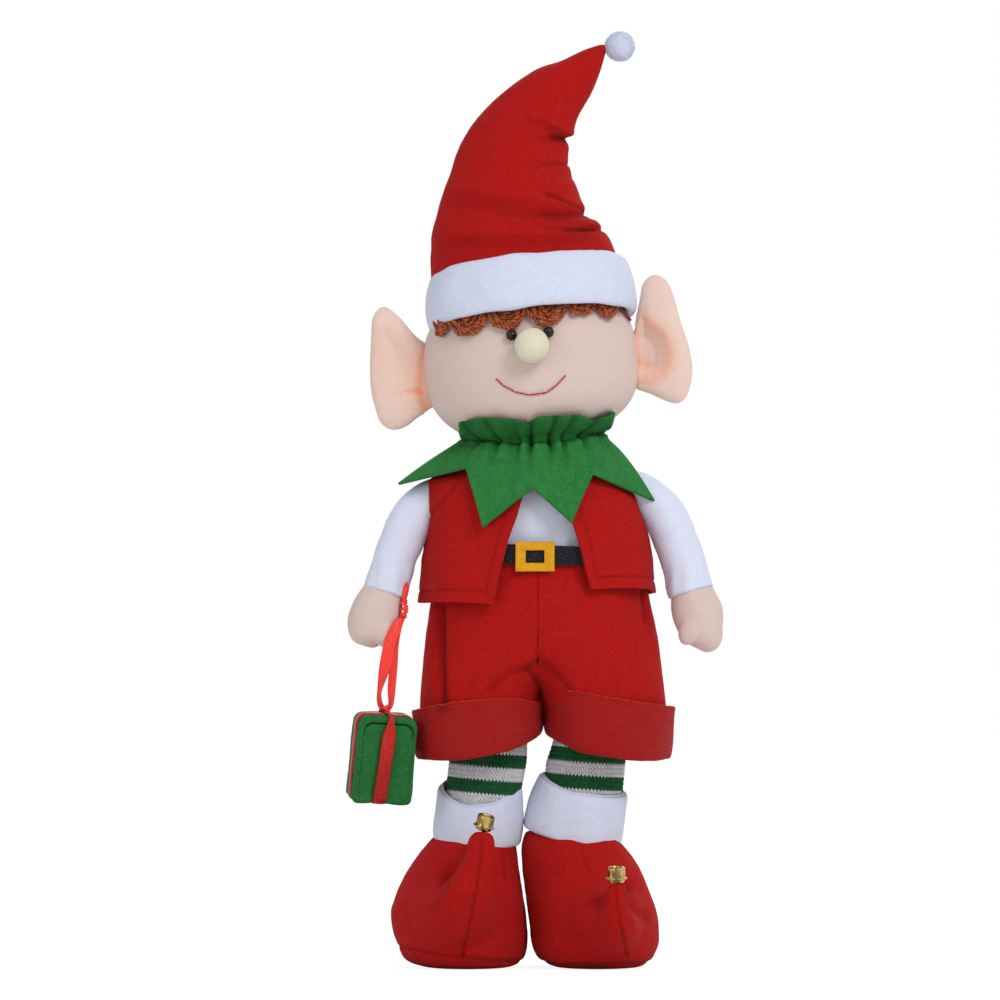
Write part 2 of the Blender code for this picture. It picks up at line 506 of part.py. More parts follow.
def make_fringe(cloth):
    """One crocheted strand that hangs in narrow loops, side by side, from under the hat band."""
    loops = round((FRINGE_EDGES[-1] - FRINGE_EDGES[0]) / LOOP_PITCH)
    pitch = (FRINGE_EDGES[-1] - FRINGE_EDGES[0]) / loops
    off = YARN_RADIUS * 1.1 + SEAT_GAP
    points = []
    for i in range(loops):
        x = FRINGE_EDGES[0] + pitch * (i + 0.5)
        top, low = fringe_reach(x)
        points.append(head_surface(x - pitch * 0.26, top, off))
        points.append(head_surface(x - pitch * 0.34, (top + low) / 2, off))
        points.append(head_surface(x - pitch * 0.10, low, off + YARN_RADIUS * 0.5))
        points.append(head_surface(x + pitch * 0.22, (top + low) / 2, off))
        points.append(head_surface(x + pitch * 0.16, top, off))
    cord("hair_fringe", points, YARN_RADIUS, cloth["yarn"])
    elastic = [head_surface(x, z, ELASTIC_RADIUS + SEAT_GAP) for x, z in smooth_rows(ELASTIC_PATH, 2)]
    cord("hair_elastic", elastic, ELASTIC_RADIUS, cloth["elastic"])


def make_hat(cloth, head):
    def bunching(point, outward):
        """Folds on the inner side of the bend, where the cloth is short."""
        inner = max((outward.x + 0.45) / 1.45, 0.0) ** 1.5
        depth = sum(size * math.exp(-((point.z - height) / HAT_FOLD_REACH) ** 2) for height, size in HAT_FOLDS)
        return -outward * inner * depth

    hat = swept_form("hat", HAT_STATIONS, 1, 20, cloth["red"], bulge=bunching)
    seat(hat, head)
    turn = Matrix.Rotation(-HEAD_LEAN, 3, "Y") @ Matrix.Rotation(-TRIM_PITCH, 3, "X")
    trim = placed_ring("hat_trim", TRIM_PROFILE, 28, cloth["white"], TRIM_CENTRE, turn, TRIM_DEPTH, power=2.25)
    seat(trim, head, hat)
    pompom = ball("hat_pompom", POMPOM_CENTRE, (POMPOM_RADIUS,) * 3, cloth["white"], 14, 8)
    seat(pompom, hat)


def make_torso(cloth):
    return level_form("torso", TORSO_STATIONS, 1, 20, cloth["shirt"], 2.3)


def make_arms(cloth, torso):
    arms = {}
    for side in ("right", "left"):
        arm = swept_form("arm_" + side, ARM_STATIONS[side], 2, 14, cloth["shirt"])
        seat(arm, torso)
        hand = swept_form("hand_" + side, HAND_STATIONS[side], 2, 12, cloth["skin"])
        centre, half, lean = THUMBS[side]
        thumb = ball("thumb_" + side, centre, half, cloth["skin"], 8, 6, 2.0, Matrix.Rotation(lean, 3, "Y"))
        joined(hand, thumb)
        seat(hand, arm)
        arms[side] = arm
    return arms


def hip_ring(x, y, z, half_width, half_depth):
    """Points round the hips. A pleat is pressed in at each side, and it fades out at the waist."""
    fade = min(max((HIP_RINGS[0][2] - z) / PLEAT_FADE, 0.0), 1.0)
    ring = []
    for i in range(HIP_SIDES):
        angle = 2 * math.pi * i / HIP_SIDES
        u, v = oval(angle, HIP_SQUARE)
        turned = (angle + math.pi) % (2 * math.pi) - math.pi
        pressed = sum(math.exp(-((turned - at) / PLEAT_WIDTH) ** 2) for at in PLEAT_ANGLES)
        size = 1 - PLEAT_DEPTH * pressed * fade
        ring.append(Vector((x + u * half_width * size, y + v * half_depth * size, z)))
    return ring


def leg_angles():
    """Angles round a leg: even steps down its outer side, then the steps along the crotch."""
    half, outer = HIP_SIDES // 2, 2 * math.pi - LEG_OPENING
    first = (LEG_OPENING - math.pi) / 2
    around = [first + outer * i / half for i in range(half + 1)]
    return around + [first + outer + LEG_OPENING * k / CROTCH_STEPS for k in range(1, CROTCH_STEPS)]


def leg_rows(side):
    """Rows of a trouser leg from the crotch down, round the fold and up the outside of the cuff.

    Each is x, y, height, half width, half depth and how much higher it runs on the inner side.
    """
    rows = [(*row, 0.0) for row in LEG_RINGS[side]]
    x, (half_width, half_depth), fold = CUFF_CENTRES[side], CUFF_HALF, CUFF_STANDOFF
    top, rise = CUFF_BOTTOM + CUFF_HEIGHT, CUFF_INNER_RISE
    rows.append((x, 0.0, CUFF_BOTTOM + fold, half_width - fold, half_depth - fold, rise))
    rows.append((x, 0.0, CUFF_BOTTOM, half_width - fold / 2, half_depth - fold / 2, rise))
    rows.append((x, 0.0, CUFF_BOTTOM + fold, half_width, half_depth, rise))
    rows.append((x, 0.0, CUFF_BOTTOM + CUFF_HEIGHT / 2, half_width, half_depth, rise * 0.7))
    rows.append((x, 0.0, top, half_width, half_depth + CUFF_FLARE, rise * 0.2))
    return rows


def add_leg(bm, side, above):
    """Skins one leg from the open edge above it. The legs mirror each other, and so do their faces."""
    mirror = 1 if side == "left" else -1
    for x, y, height, half_width, half_depth, rise in leg_rows(side):
        ring = []
        for angle in leg_angles():
            u, v = oval(angle, LEG_SQUARE)
            inner = ((1 - math.sin(angle)) / 2) ** 3
            ring.append(bm.verts.new((x + mirror * u * half_width, y + v * half_depth, height + rise * inner)))
        for i in range(len(above)):
            quad = (above[i], above[i - 1], ring[i - 1], ring[i])
            bm.faces.new(quad[::mirror])
        above = ring


def make_trousers(cloth):
    """One open skin of cloth: waist, hips, two legs and their turned-up cuffs, thickened by Solidify."""
    bm = bmesh.new()
    rows = [[bm.verts.new(point) for point in hip_ring(*row)] for row in HIP_RINGS]
    for high, low in zip(rows, rows[1:]):
        for i in range(HIP_SIDES):
            bm.faces.new((high[i], high[i - 1], low[i - 1], low[i]))
    depth = HIP_RINGS[-1][4] * CROTCH_TUCK
    crotch = [bm.verts.new((CROTCH_X, depth * math.cos(math.pi * k / CROTCH_STEPS), CROTCH_Z))
              for k in range(1, CROTCH_STEPS)]
    for side, mirror in (("left", 1), ("right", -1)):
        outer = [rows[-1][(i * mirror) % HIP_SIDES] for i in range(HIP_SIDES // 2 + 1)]
        add_leg(bm, side, outer + crotch)
    trousers = from_bmesh("trousers", bm, cloth["red"], (CROTCH_X, 0, CROTCH_Z))
    thicken(trousers, FLEECE)
    return trousers


def thicken(obj, thickness):
    cloth = obj.modifiers.new("Cloth", "SOLIDIFY")
    cloth.thickness = thickness
    cloth.offset = 0.0


def make_belt(cloth, trousers):
    """A felt strip round the waist over the top of the trousers, and a flat felt buckle on its front."""
    x, y, z, half_width, half_depth = HIP_RINGS[0]
    inside = FLEECE / 2 + SEAT_GAP * 1.5
    rings = []
    for i in range(HIP_SIDES):
        u, v = oval(2 * math.pi * i / HIP_SIDES, HIP_SQUARE)
        drop = -math.tan(BELT_SLOPE) * u * half_width
        inner = Vector((x + u * (half_width + inside), y + v * (half_depth + inside), BELT_BOTTOM + drop))
        outer = Vector((x + u * (half_width + inside + FELT), y + v * (half_depth + inside + FELT), inner.z))
        up = Vector((0, 0, BELT_HEIGHT))
        rings.append([inner, outer, outer + up, inner + up])
    belt = from_bmesh("belt", skinned(rings, closed=True), cloth["black"], (x, y, BELT_BOTTOM))
    seat(belt, trousers)
    front = y - half_depth - inside - FELT - SEAT_GAP
    buckle = box_mesh((BUCKLE_SIZE[0], FELT, BUCKLE_SIZE[1]))
    buckle = finished("buckle", buckle, cloth["yellow"], (0, 0, 0))
    hole = hidden_box("buckle_hole", (BUCKLE_HOLE[0], FELT * 4, BUCKLE_HOLE[1]))
    boolean(buckle, "DIFFERENCE", hole)
    for obj in (buckle, hole):
        obj.location = (BUCKLE_CENTRE[0], front - FELT / 2, BUCKLE_CENTRE[1])


def box_mesh(size):
    bm = bmesh.new()
    bmesh.ops.create_cube(bm, size=1.0)
    bmesh.ops.scale(bm, vec=size, verts=bm.verts)
    mesh = bpy.data.meshes.new("box")
    bm.to_mesh(mesh)
    bm.free()
    return mesh


def hidden_box(name, size):
    box = bpy.data.objects.new(name, box_mesh(size))
    box.parent = root
    box.hide_render = True
    box.display_type = "WIRE"
    cutters.objects.link(box)
    return box


def make_vest(cloth):
    """A waistcoat that follows the body from its uneven hem to the shoulders, cut where the arms come out."""
    bm = bmesh.new()
    rows = []
    for r in range(VEST_ROWS + 1):
        row = []
        for c in range(VEST_COLUMNS + 1):
            share = c / VEST_COLUMNS
            hem = VEST_HEMS["left"] + (VEST_HEMS["right"] - VEST_HEMS["left"]) * share
            z = hem + (VEST_TOP - hem) * r / VEST_ROWS
            x, y, _, half_width, half_depth = row_at(VEST_RINGS, z)
            _, right_edge, left_edge = row_at(VEST_EDGES, z, key=0)
            start = oval_angle((left_edge - x) / half_width, HIP_SQUARE)
            end = 2 * math.pi + oval_angle((right_edge - x) / half_width, HIP_SQUARE)
            u, v = oval(start + (end - start) * share, HIP_SQUARE)
            row.append(bm.verts.new((x + u * half_width, y + v * half_depth, z)))
        rows.append(row)
    for low, high in zip(rows, rows[1:]):
        for c in range(VEST_COLUMNS):
            bm.faces.new((low[c], low[c + 1], high[c + 1], high[c]))
    vest = from_bmesh("vest", bm, cloth["red"], (0, 0, VEST_TOP))
    thicken(vest, FLEECE)
    sideways = Matrix(((0, 0, 1), (1, 0, 0), (0, 1, 0))).to_4x4()
    for side, (x, z) in ARMHOLE_PLACES.items():
        ends = [(0, 0, 0, *ARMHOLE_HALF), (0, 0, ARMHOLE_REACH, *ARMHOLE_HALF)]
        armhole = level_form("armhole_" + side, ends, 1, 16, cloth["red"])
        armhole.matrix_basis = Matrix.Translation((x, 0, z)) @ sideways
        boolean(vest, "DIFFERENCE", as_cutter(armhole))
    return vest


def neck_point(degrees):
    angle = math.radians(degrees)
    return NECK_CENTRE + Vector((math.sin(angle) * NECK_HALF[0], -math.cos(angle) * NECK_HALF[1], 0))


def lifted(point, trees, off):
    """Moves a point out of the forms below it until it is this far from their surfaces."""
    for _ in range(2):
        for tree in trees:
            found, normal, _, _ = tree.find_nearest(point)
            depth = (point - found).dot(normal)
            if depth < off:
                point = point + normal * (off - depth)
    return point


def surface_tree(obj):
    bm = bmesh.new()
    bm.from_mesh(baked(obj))
    tree = BVHTree.FromBMesh(bm)
    bm.free()
    return tree


def make_collar(cloth, head, vest, forms):
    """The gathered strip: for each column the ruffle top, the neck line, and the way down to the pointed edge."""
    covered = [surface_tree(form) for form in (vest, *forms)]
    columns = []
    for tip, angle, following, before, after in zip(
            COLLAR_TIPS, COLLAR_NECK_ANGLES[-1:] + COLLAR_NECK_ANGLES[:-1], COLLAR_NECK_ANGLES,
            COLLAR_VALLEYS[-1:] + COLLAR_VALLEYS[:-1], COLLAR_VALLEYS):
        start = angle - 360 if angle > following else angle
        for c in range(POINT_COLUMNS):
            share = c / POINT_COLUMNS
            valley = before if share < 0.5 else after
            pull = 1 - abs(2 * share - 1)
            edge = Vector(valley).lerp(Vector(tip), pull)
            columns.append((start + (following - start) * share, edge))
    bm = bmesh.new()
    grid = []
    for number, (degrees, edge) in enumerate(columns):
        neck = neck_point(degrees)
        outward = Vector((neck.x - NECK_CENTRE.x, neck.y - NECK_CENTRE.y, 0)).normalized()
        wave = (1, 0, -1, 0)[number % 4]
        column = []
        for lift in (1.0, 0.5):
            out = RUFFLE_FLARE * lift + RUFFLE_WAVE * wave * lift
            top = neck + outward * out + Vector((0, 0, RUFFLE_HEIGHT * lift - 0.0015 * wave * lift))
            column.append(clear_of_head(top, FELT / 2 + SEAT_GAP))
        column.append(neck)
        bend = neck + outward * COLLAR_SPREAD
        for step in range(1, POINT_ROWS + 1):
            t = step / POINT_ROWS
            down = neck * (1 - t) ** 2 + bend * 2 * t * (1 - t) + edge * t * t
            down += outward * (GATHER_WAVE * wave * 4 * t * (1 - t))
            column.append(lifted(down, covered, FELT / 2 + COLLAR_CLEARANCE))
        grid.append([bm.verts.new(point) for point in column])
    for left, right in zip(grid, grid[1:] + grid[:1]):
        for i in range(len(left) - 1):
            bm.faces.new((left[i], left[i + 1], right[i + 1], right[i]))
    collar = from_bmesh("collar", bm, cloth["green"], NECK_CENTRE)
    thicken(collar, FELT)
    seat(collar, head, *forms)


def make_leg(cloth, side):
    leg = level_form("leg_" + side, LEG_STATIONS[side], 1, 20, cloth["knit"])
    centre, pitch, lean, width = BAND_PLACES[side]
    turn = Matrix.Rotation(lean, 3, "Y") @ Matrix.Rotation(pitch, 3, "X")
    band = placed_ring("boot_cuff_" + side, BAND_PROFILE, 18, cloth["white"], centre, turn, 1.06, width)
    seat(band, leg)
    boot = level_form("boot_" + side, boot_rows(side, SOLE_HEIGHT + SEAT_GAP), 1, 24, cloth["red"])
    toe = swept_form("toe_" + side, TOE_STATIONS[side], 1, 14, cloth["red"])
    joined(boot, toe)
    seat(leg, boot)
    rim = row_at(BOOT_STATIONS[side], SOLE_HEIGHT)
    sole = [(rim[0], rim[1], z, rim[3] - tuck, rim[4] - tuck) for z, tuck in
            ((0.0, 0.0045), (0.0022, 0.0012), (SOLE_HEIGHT, 0.0))]
    level_form("sole_" + side, sole, 1, 24, cloth["red"])
    seat(band, boot)
    make_bell(cloth, side, boot)


def boot_rows(side, bottom):
    """The boot's ovals from a height upwards, with the oval at that height read off the list."""
    return [row_at(BOOT_STATIONS[side], bottom), *[row for row in BOOT_STATIONS[side] if row[2] > bottom]]


def make_bell(cloth, side, boot):
    """A small two-part jingle bell: a slotted cap, a flange and a shallow base, with a loose pellet inside."""
    tip = Vector(TOE_STATIONS[side][-1][:3])
    turn = Matrix.Rotation(BELL_LEAN[side], 3, "Y")
    base = tip + turn @ Vector((0, 0, SEAT_GAP))
    inner = BELL_RADIUS - BELL_WALL
    profile = [(BELL_STEM, 0.0), (BELL_BASE, BELL_WALL), (BELL_RADIUS, BELL_BRIM - BELL_WALL),
               (BELL_FLANGE, BELL_BRIM), (BELL_FLANGE, BELL_BRIM + BELL_WALL),
               (BELL_RADIUS, BELL_BRIM + BELL_WALL), (BELL_RADIUS, BELL_TOP - BELL_SHOULDER),
               (BELL_RADIUS - BELL_SHOULDER, BELL_TOP), (BELL_STEM, BELL_TOP), (BELL_STEM, BELL_TOP - BELL_WALL),
               (inner, BELL_TOP - BELL_SHOULDER - BELL_WALL), (inner, BELL_BRIM), (BELL_STEM, BELL_WALL)]
    bell = placed_ring("bell_" + side, profile, 12, cloth["brass"], base, turn)
    slot = hidden_box("bell_slot_" + side, (BELL_RADIUS * 2 - 0.0016, BELL_SLOT, 0.0022))
    slot.location = base + turn @ Vector((0, 0, BELL_TOP))
    slot.rotation_euler = (0, BELL_LEAN[side], 0)
    bpy.context.view_layer.update()
    boolean(bell, "DIFFERENCE", slot)
    pellet_centre = base + turn @ Vector((0, 0, BELL_WALL * 1.6 + PELLET_RADIUS))
    ball("bell_pellet_" + side, pellet_centre, (PELLET_RADIUS,) * 3, cloth["brass"], 8, 6)


def rounded_loop(half_x, half_z, radius, steps=3):
    """Points round a rectangle with rounded corners, in its own plane."""
    points = []
    for corner, (sx, sz) in enumerate(((1, 1), (-1, 1), (-1, -1), (1, -1))):
        for step in range(steps + 1):
            angle = math.pi / 2 * (corner + step / steps)
            points.append((sx * (half_x - radius) + radius * math.cos(angle),
                           sz * (half_z - radius) + radius * math.sin(angle)))
    return points


def ribbon_band(name, half_across, half_up, off, across, normal, cloth):
    """A ribbon wrapped once round the block, standing off it by a distance."""
    rings = []
    for p, q in rounded_loop(half_across + off, half_up + off, GIFT_EDGE + off):
        outward = Vector((p / half_across, 0, q / half_up))
        outward = (across * (outward.x ** 5) + Vector((0, 0, outward.z ** 5))).normalized()
        middle = across * p + Vector((0, 0, q))
        rings.append([middle + normal * (u * RIBBON_WIDTH / 2) + outward * (v * RIBBON)
                      for u, v in ((-1, 0), (1, 0), (1, 1), (-1, 1))])
    return from_bmesh(name, skinned(rings, closed=True), cloth["satin"])


def make_gift(cloth, hand, arm):
    block = finished("gift_box", box_mesh(GIFT_SIZE), cloth["green"])
    bevel = block.modifiers.new("Edges", "BEVEL")
    bevel.width = GIFT_EDGE
    bevel.segments = 3
    half = GIFT_SIZE / 2
    x, y = Vector((1, 0, 0)), Vector((0, 1, 0))
    side_band = ribbon_band("gift_ribbon_side", half.x, half.z, SEAT_GAP, x, y, cloth)
    front_band = ribbon_band("gift_ribbon_front", half.y, half.z, SEAT_GAP * 2 + RIBBON, y, x, cloth)
    for obj in (block, side_band, front_band):
        obj.location = GIFT_CENTRE
        obj.rotation_euler = (0, GIFT_LEAN, GIFT_TURN)
    bpy.context.view_layer.update()
    loop = strap("hanging_ribbon", HANG_PATH, (1, 0, 0), HANG_WIDTH, RIBBON, cloth["satin"])
    knot = ball("hanging_knot", HANG_KNOT, HANG_KNOT_HALF, cloth["satin"], 10, 6)
    tail = strap("hanging_tail", HANG_TAIL, (0.8, 0.5, 0), HANG_WIDTH * 0.8, RIBBON, cloth["satin"], closed=False)
    joined(loop, knot, tail, solver="MANIFOLD")
    seat(loop, hand, arm, front_band)


def finishes():
    return {
        "skin": material("skin_fabric", (0.80, 0.58, 0.49), 0.9),
        "cream": material("cream_pompom", (0.82, 0.76, 0.60), 0.95),
        "bead": material("black_bead", (0.01, 0.01, 0.01), 0.15),
        "thread": material("red_thread", (0.60, 0.02, 0.02), 0.6),
        "yarn": material("brown_yarn", (0.42, 0.13, 0.04), 0.8),
        "elastic": material("dark_red_elastic", (0.25, 0.01, 0.02), 0.35),
        "red": material("red_fleece", (0.52, 0.02, 0.02), 0.9),
        "white": material("white_fleece", (0.82, 0.84, 0.90), 0.95),
        "shirt": material("white_jersey", (0.80, 0.82, 0.90), 0.85),
        "green": material("green_felt", (0.04, 0.26, 0.08), 0.95),
        "black": material("black_felt", (0.015, 0.017, 0.017), 0.9),
        "yellow": material("yellow_felt", (0.80, 0.42, 0.02), 0.85),
        "knit": material("striped_knit", (0.45, 0.60, 0.48), 0.9),
        "satin": material("red_satin", (0.72, 0.04, 0.03), 0.35),
        "brass": material("brass", (0.80, 0.62, 0.28), 0.2, 1.0),
    }


def make_figurine():
    cloth = finishes()
    head = make_head(cloth)
    make_fringe(cloth)
    make_hat(cloth, head)
    torso = make_torso(cloth)
    arms = make_arms(cloth, torso)
    trousers = make_trousers(cloth)
    make_belt(cloth, trousers)
    vest = make_vest(cloth)
    make_collar(cloth, head, vest, arms.values())
    for side in ("right", "left"):
        make_leg(cloth, side)
    make_gift(cloth, bpy.data.objects["hand_right"], arms["right"])
    root.location = (-BASE_CENTRE[0], -BASE_CENTRE[1], 0)


clear_scene()
parts = collection("elf_figurine")
cutters = collection("cutters")
root = bpy.data.objects.new("figurine_frame", None)
parts.objects.link(root)
make_figurine()
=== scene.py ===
"""Dresses the stuffed elf figurine's frame in fleece, felt, jersey, knit, yarn, satin and brass.

Metres, in the frame's own axes. Right and left are the figurine's own. Shapes are first made round the
figurine's middle line, as the CAD makes them, and then moved by MIDDLE_LINE to where the frame stands.
Station rows hold a centre (x, y, z) with a half width across and a half depth.
"""

import math

import bmesh
import bpy
import numpy as np
from mathutils import Matrix, Vector, noise

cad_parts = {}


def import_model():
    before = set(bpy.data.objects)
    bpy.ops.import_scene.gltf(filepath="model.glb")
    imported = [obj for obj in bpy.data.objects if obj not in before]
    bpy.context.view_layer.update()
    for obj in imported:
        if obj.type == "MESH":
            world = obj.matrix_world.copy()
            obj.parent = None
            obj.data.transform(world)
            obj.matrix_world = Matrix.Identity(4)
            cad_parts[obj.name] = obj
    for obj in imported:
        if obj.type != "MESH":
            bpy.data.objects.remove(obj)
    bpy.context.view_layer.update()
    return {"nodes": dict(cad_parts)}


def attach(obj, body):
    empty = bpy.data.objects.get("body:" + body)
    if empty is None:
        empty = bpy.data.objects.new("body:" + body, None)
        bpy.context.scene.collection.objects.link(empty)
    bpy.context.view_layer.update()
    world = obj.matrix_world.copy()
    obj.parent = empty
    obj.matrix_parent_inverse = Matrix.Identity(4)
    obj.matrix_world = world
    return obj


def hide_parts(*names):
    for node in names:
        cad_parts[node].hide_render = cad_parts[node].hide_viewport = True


MIDDLE_LINE = np.array((-0.0007, 0.0109, 0.0))
MM = 0.001
RNG = np.random.default_rng(7)
# Thickness of the two cloths
FELT, FLEECE = 0.0012, 0.0018

# Head and face
HEAD_CENTRE, HEAD_HALF = np.array((-0.0014, 0.0, 0.2904)), np.array((0.0514, 0.0410, 0.0365))
HEAD_FULLNESS, HEAD_LEAN = 2.7, math.radians(5.9)
NOSE_PLACE, NOSE_RADIUS = (-0.0010, 0.2986), 0.0085
EYE_PLACES, EYE_RADIUS = {"right": (-0.0108, 0.3036), "left": (0.0068, 0.3050)}, 0.0027
MOUTH_PATH = [(-0.0182, 0.2828), (-0.0149, 0.2796), (-0.0091, 0.2765), (-0.0024, 0.2750), (0.0058, 0.2761),
              (0.0106, 0.2796), (0.0151, 0.2844)]
# Ears: outline, the bowl's edge, the line where the ear joins the head, and the crease that starts there
EAR_OUTLINES = {
    "right": [(-0.0716, 0.3178), (-0.0771, 0.3140), (-0.0786, 0.3050), (-0.0790, 0.2930), (-0.0786, 0.2780),
              (-0.0760, 0.2670), (-0.0735, 0.2610), (-0.0682, 0.2580), (-0.0620, 0.2594), (-0.0556, 0.2640),
              (-0.0475, 0.2700), (-0.0455, 0.2840), (-0.0480, 0.2960), (-0.0570, 0.3040), (-0.0640, 0.3120)],
    "left": [(0.0580, 0.3330), (0.0524, 0.3290), (0.0503, 0.3200), (0.0480, 0.3080), (0.0455, 0.2920),
             (0.0480, 0.2790), (0.0560, 0.2750), (0.0640, 0.2714), (0.0701, 0.2710), (0.0745, 0.2760),
             (0.0763, 0.2860), (0.0750, 0.2970), (0.0715, 0.3090), (0.0677, 0.3210), (0.0640, 0.3300)],
}
EAR_BOWLS = {
    "right": [(-0.0750, 0.3060), (-0.0700, 0.3090), (-0.0640, 0.3040), (-0.0570, 0.2960), (-0.0550, 0.2860),
              (-0.0580, 0.2790), (-0.0660, 0.2750), (-0.0730, 0.2790), (-0.0755, 0.2900)],
    "left": [(0.0440, 0.3060), (0.0490, 0.3120), (0.0523, 0.3151), (0.0587, 0.3103), (0.0635, 0.3064),
             (0.0667, 0.2996), (0.0675, 0.2937), (0.0667, 0.2877), (0.0630, 0.2830), (0.0570, 0.2810),
             (0.0490, 0.2820), (0.0440, 0.2900)],
}
EAR_ROOTS = {"right": [(-0.0518, 0.2970), (-0.0541, 0.2887), (-0.0550, 0.2795), (-0.0537, 0.2726),
                       (-0.0514, 0.2680)],
             "left": [(0.0472, 0.3096), (0.0488, 0.3036), (0.0502, 0.2976), (0.0504, 0.2909),
                      (0.0492, 0.2849), (0.0484, 0.2794)]}
EAR_CREASES = {"right": [(-0.0545, 0.2768), (-0.0614, 0.2759), (-0.0668, 0.2738)],
               "left": [(0.0508, 0.2905), (0.0536, 0.2895), (0.0579, 0.2887)]}
EAR_CENTRES = {"right": (-0.0650, 0.2850), "left": (0.0620, 0.2970)}
EAR_THICK, EAR_FRONT_RINGS, EAR_BACK_RINGS = 0.0105, 56, 26
EAR_DISH, EAR_WALL = {"right": 0.0016, "left": 0.0034}, {"right": 0.0100, "left": 0.0105}
EAR_ROOT_WIDTH, EAR_ROOT_GLOW = {"right": 0.0022, "left": 0.0009}, {"right": 0.25, "left": 0.08}
EAR_RIM_GLOW, EAR_RIM_SHADE = {"right": 0.10, "left": 0.45}, {"right": 0.05, "left": 0.16}

# Fringe: scallops of curly yarn, each from one x to the next, with its root and its lowest height
FRINGE_EDGES = [-0.0480, -0.0418, -0.0226, -0.0040, 0.0150, 0.0300, 0.0405]
FRINGE_LOWS = [0.3026, 0.3030, 0.3060, 0.3078, 0.3130, 0.3116]
FRINGE_ROOTS = [0.3088, 0.3130, 0.3162, 0.3180, 0.3200, 0.3206, 0.3190]
ELASTIC_PATH = [(0.0400, 0.3172), (0.0432, 0.3150), (0.0462, 0.3108)]
STRAND_PITCH, PLY_RADIUS, PLY_WIND, PLY_TURN = 0.0021, 0.00064, 0.00062, 0.0044

# Hat
HAT_STATIONS = [(-0.0016, 0.0022, 0.3226, 0.0455, 0.0385), (-0.0068, 0.0036, 0.3395, 0.0440, 0.0370),
                (-0.0098, 0.0046, 0.3520, 0.0402, 0.0345), (-0.0106, 0.0054, 0.3610, 0.0368, 0.0320),
                (-0.0106, 0.0060, 0.3715, 0.0332, 0.0295), (-0.0096, 0.0066, 0.3840, 0.0288, 0.0260),
                (-0.0060, 0.0072, 0.3965, 0.0248, 0.0222), (0.0006, 0.0076, 0.4077, 0.0206, 0.0182),
                (0.0090, 0.0080, 0.4178, 0.0162, 0.0148), (0.0188, 0.0082, 0.4268, 0.0114, 0.0108),
                (0.0272, 0.0084, 0.4358, 0.0068, 0.0064), (0.0326, 0.0086, 0.4412, 0.0030, 0.0028),
                (0.0348, 0.0087, 0.4430, 0.0009, 0.0009)]
# Each fold: its ridge, how far below it lies its hollow, its depth, and its reach above and below
HAT_FOLDS = [([(-0.0134, 0.4135), (0.0043, 0.4075), (0.0187, 0.4000), (0.0260, 0.3960)],
              0.0040, 1.3, 3.2, 2.2),
             ([(-0.0450, 0.3750), (-0.0202, 0.3722), (0.0144, 0.3665), (0.0260, 0.3625)],
              0.0068, 1.5, 3.4, 3.6),
             ([(-0.0520, 0.3505), (-0.0250, 0.3525), (0.0125, 0.3528), (0.0300, 0.3560)],
              0.0052, 1.4, 3.0, 2.8)]
# Each crease: its line, depth and width. Each notch in the left side: its height, depth and width
HAT_CREASES = [([(0.0062, 0.3712), (0.0200, 0.3655), (0.0300, 0.3615)], 1.5, 1.3),
               ([(0.0144, 0.3532), (0.0300, 0.3556)], 1.3, 1.2),
               ([(0.0090, 0.3990), (0.0230, 0.3968)], 1.0, 1.3)]
HAT_NOTCHES = [(0.3979, 1.6, 1.6), (0.3859, 1.1, 1.2), (0.3622, 2.0, 1.5), (0.3548, 1.6, 1.2)]
# Fleece band and pompom
TRIM_CENTRE, TRIM_PITCH, TRIM_DEPTH = np.array((-0.0016, 0.0008, 0.3226)), math.radians(11), 0.86
TRIM_PROFILE = [(0.0430, 0.0118), (0.0452, 0.0132), (0.0476, 0.0112), (0.0498, 0.0050), (0.0508, -0.0020),
                (0.0506, -0.0090), (0.0490, -0.0128), (0.0466, -0.0134), (0.0446, -0.0110), (0.0432, 0.0)]
POMPOM_CENTRE, POMPOM_RADIUS = np.array((0.0413, 0.0090, 0.4427)), 0.0073

# Shirt, sleeves and hands
TORSO_STATIONS = [(0.0040, 0.0, 0.1580, 0.0430, 0.0305), (0.0036, 0.0, 0.1780, 0.0446, 0.0322),
                  (0.0032, 0.0, 0.1965, 0.0444, 0.0324), (0.0028, 0.0, 0.2140, 0.0444, 0.0322),
                  (0.0024, 0.0, 0.2250, 0.0424, 0.0308), (0.0018, 0.0, 0.2340, 0.0364, 0.0276),
                  (0.0012, 0.0, 0.2420, 0.0292, 0.0244), (0.0010, 0.0, 0.2480, 0.0250, 0.0222)]
ARM_STATIONS = {
    "right": [(-0.0335, 0.0, 0.2285, 0.0080, 0.0085), (-0.0456, -0.0010, 0.2254, 0.0100, 0.0100),
              (-0.0576, -0.0030, 0.2166, 0.0107, 0.0106), (-0.0652, -0.0050, 0.2004, 0.0104, 0.0104),
              (-0.0715, -0.0070, 0.1800, 0.0105, 0.0105)],
    "left": [(0.0374, 0.0, 0.2315, 0.0080, 0.0085), (0.0508, -0.0010, 0.2276, 0.0099, 0.0100),
             (0.0624, -0.0030, 0.2172, 0.0106, 0.0106), (0.0702, -0.0050, 0.1994, 0.0107, 0.0104),
             (0.0756, -0.0070, 0.1805, 0.0109, 0.0105)],
}
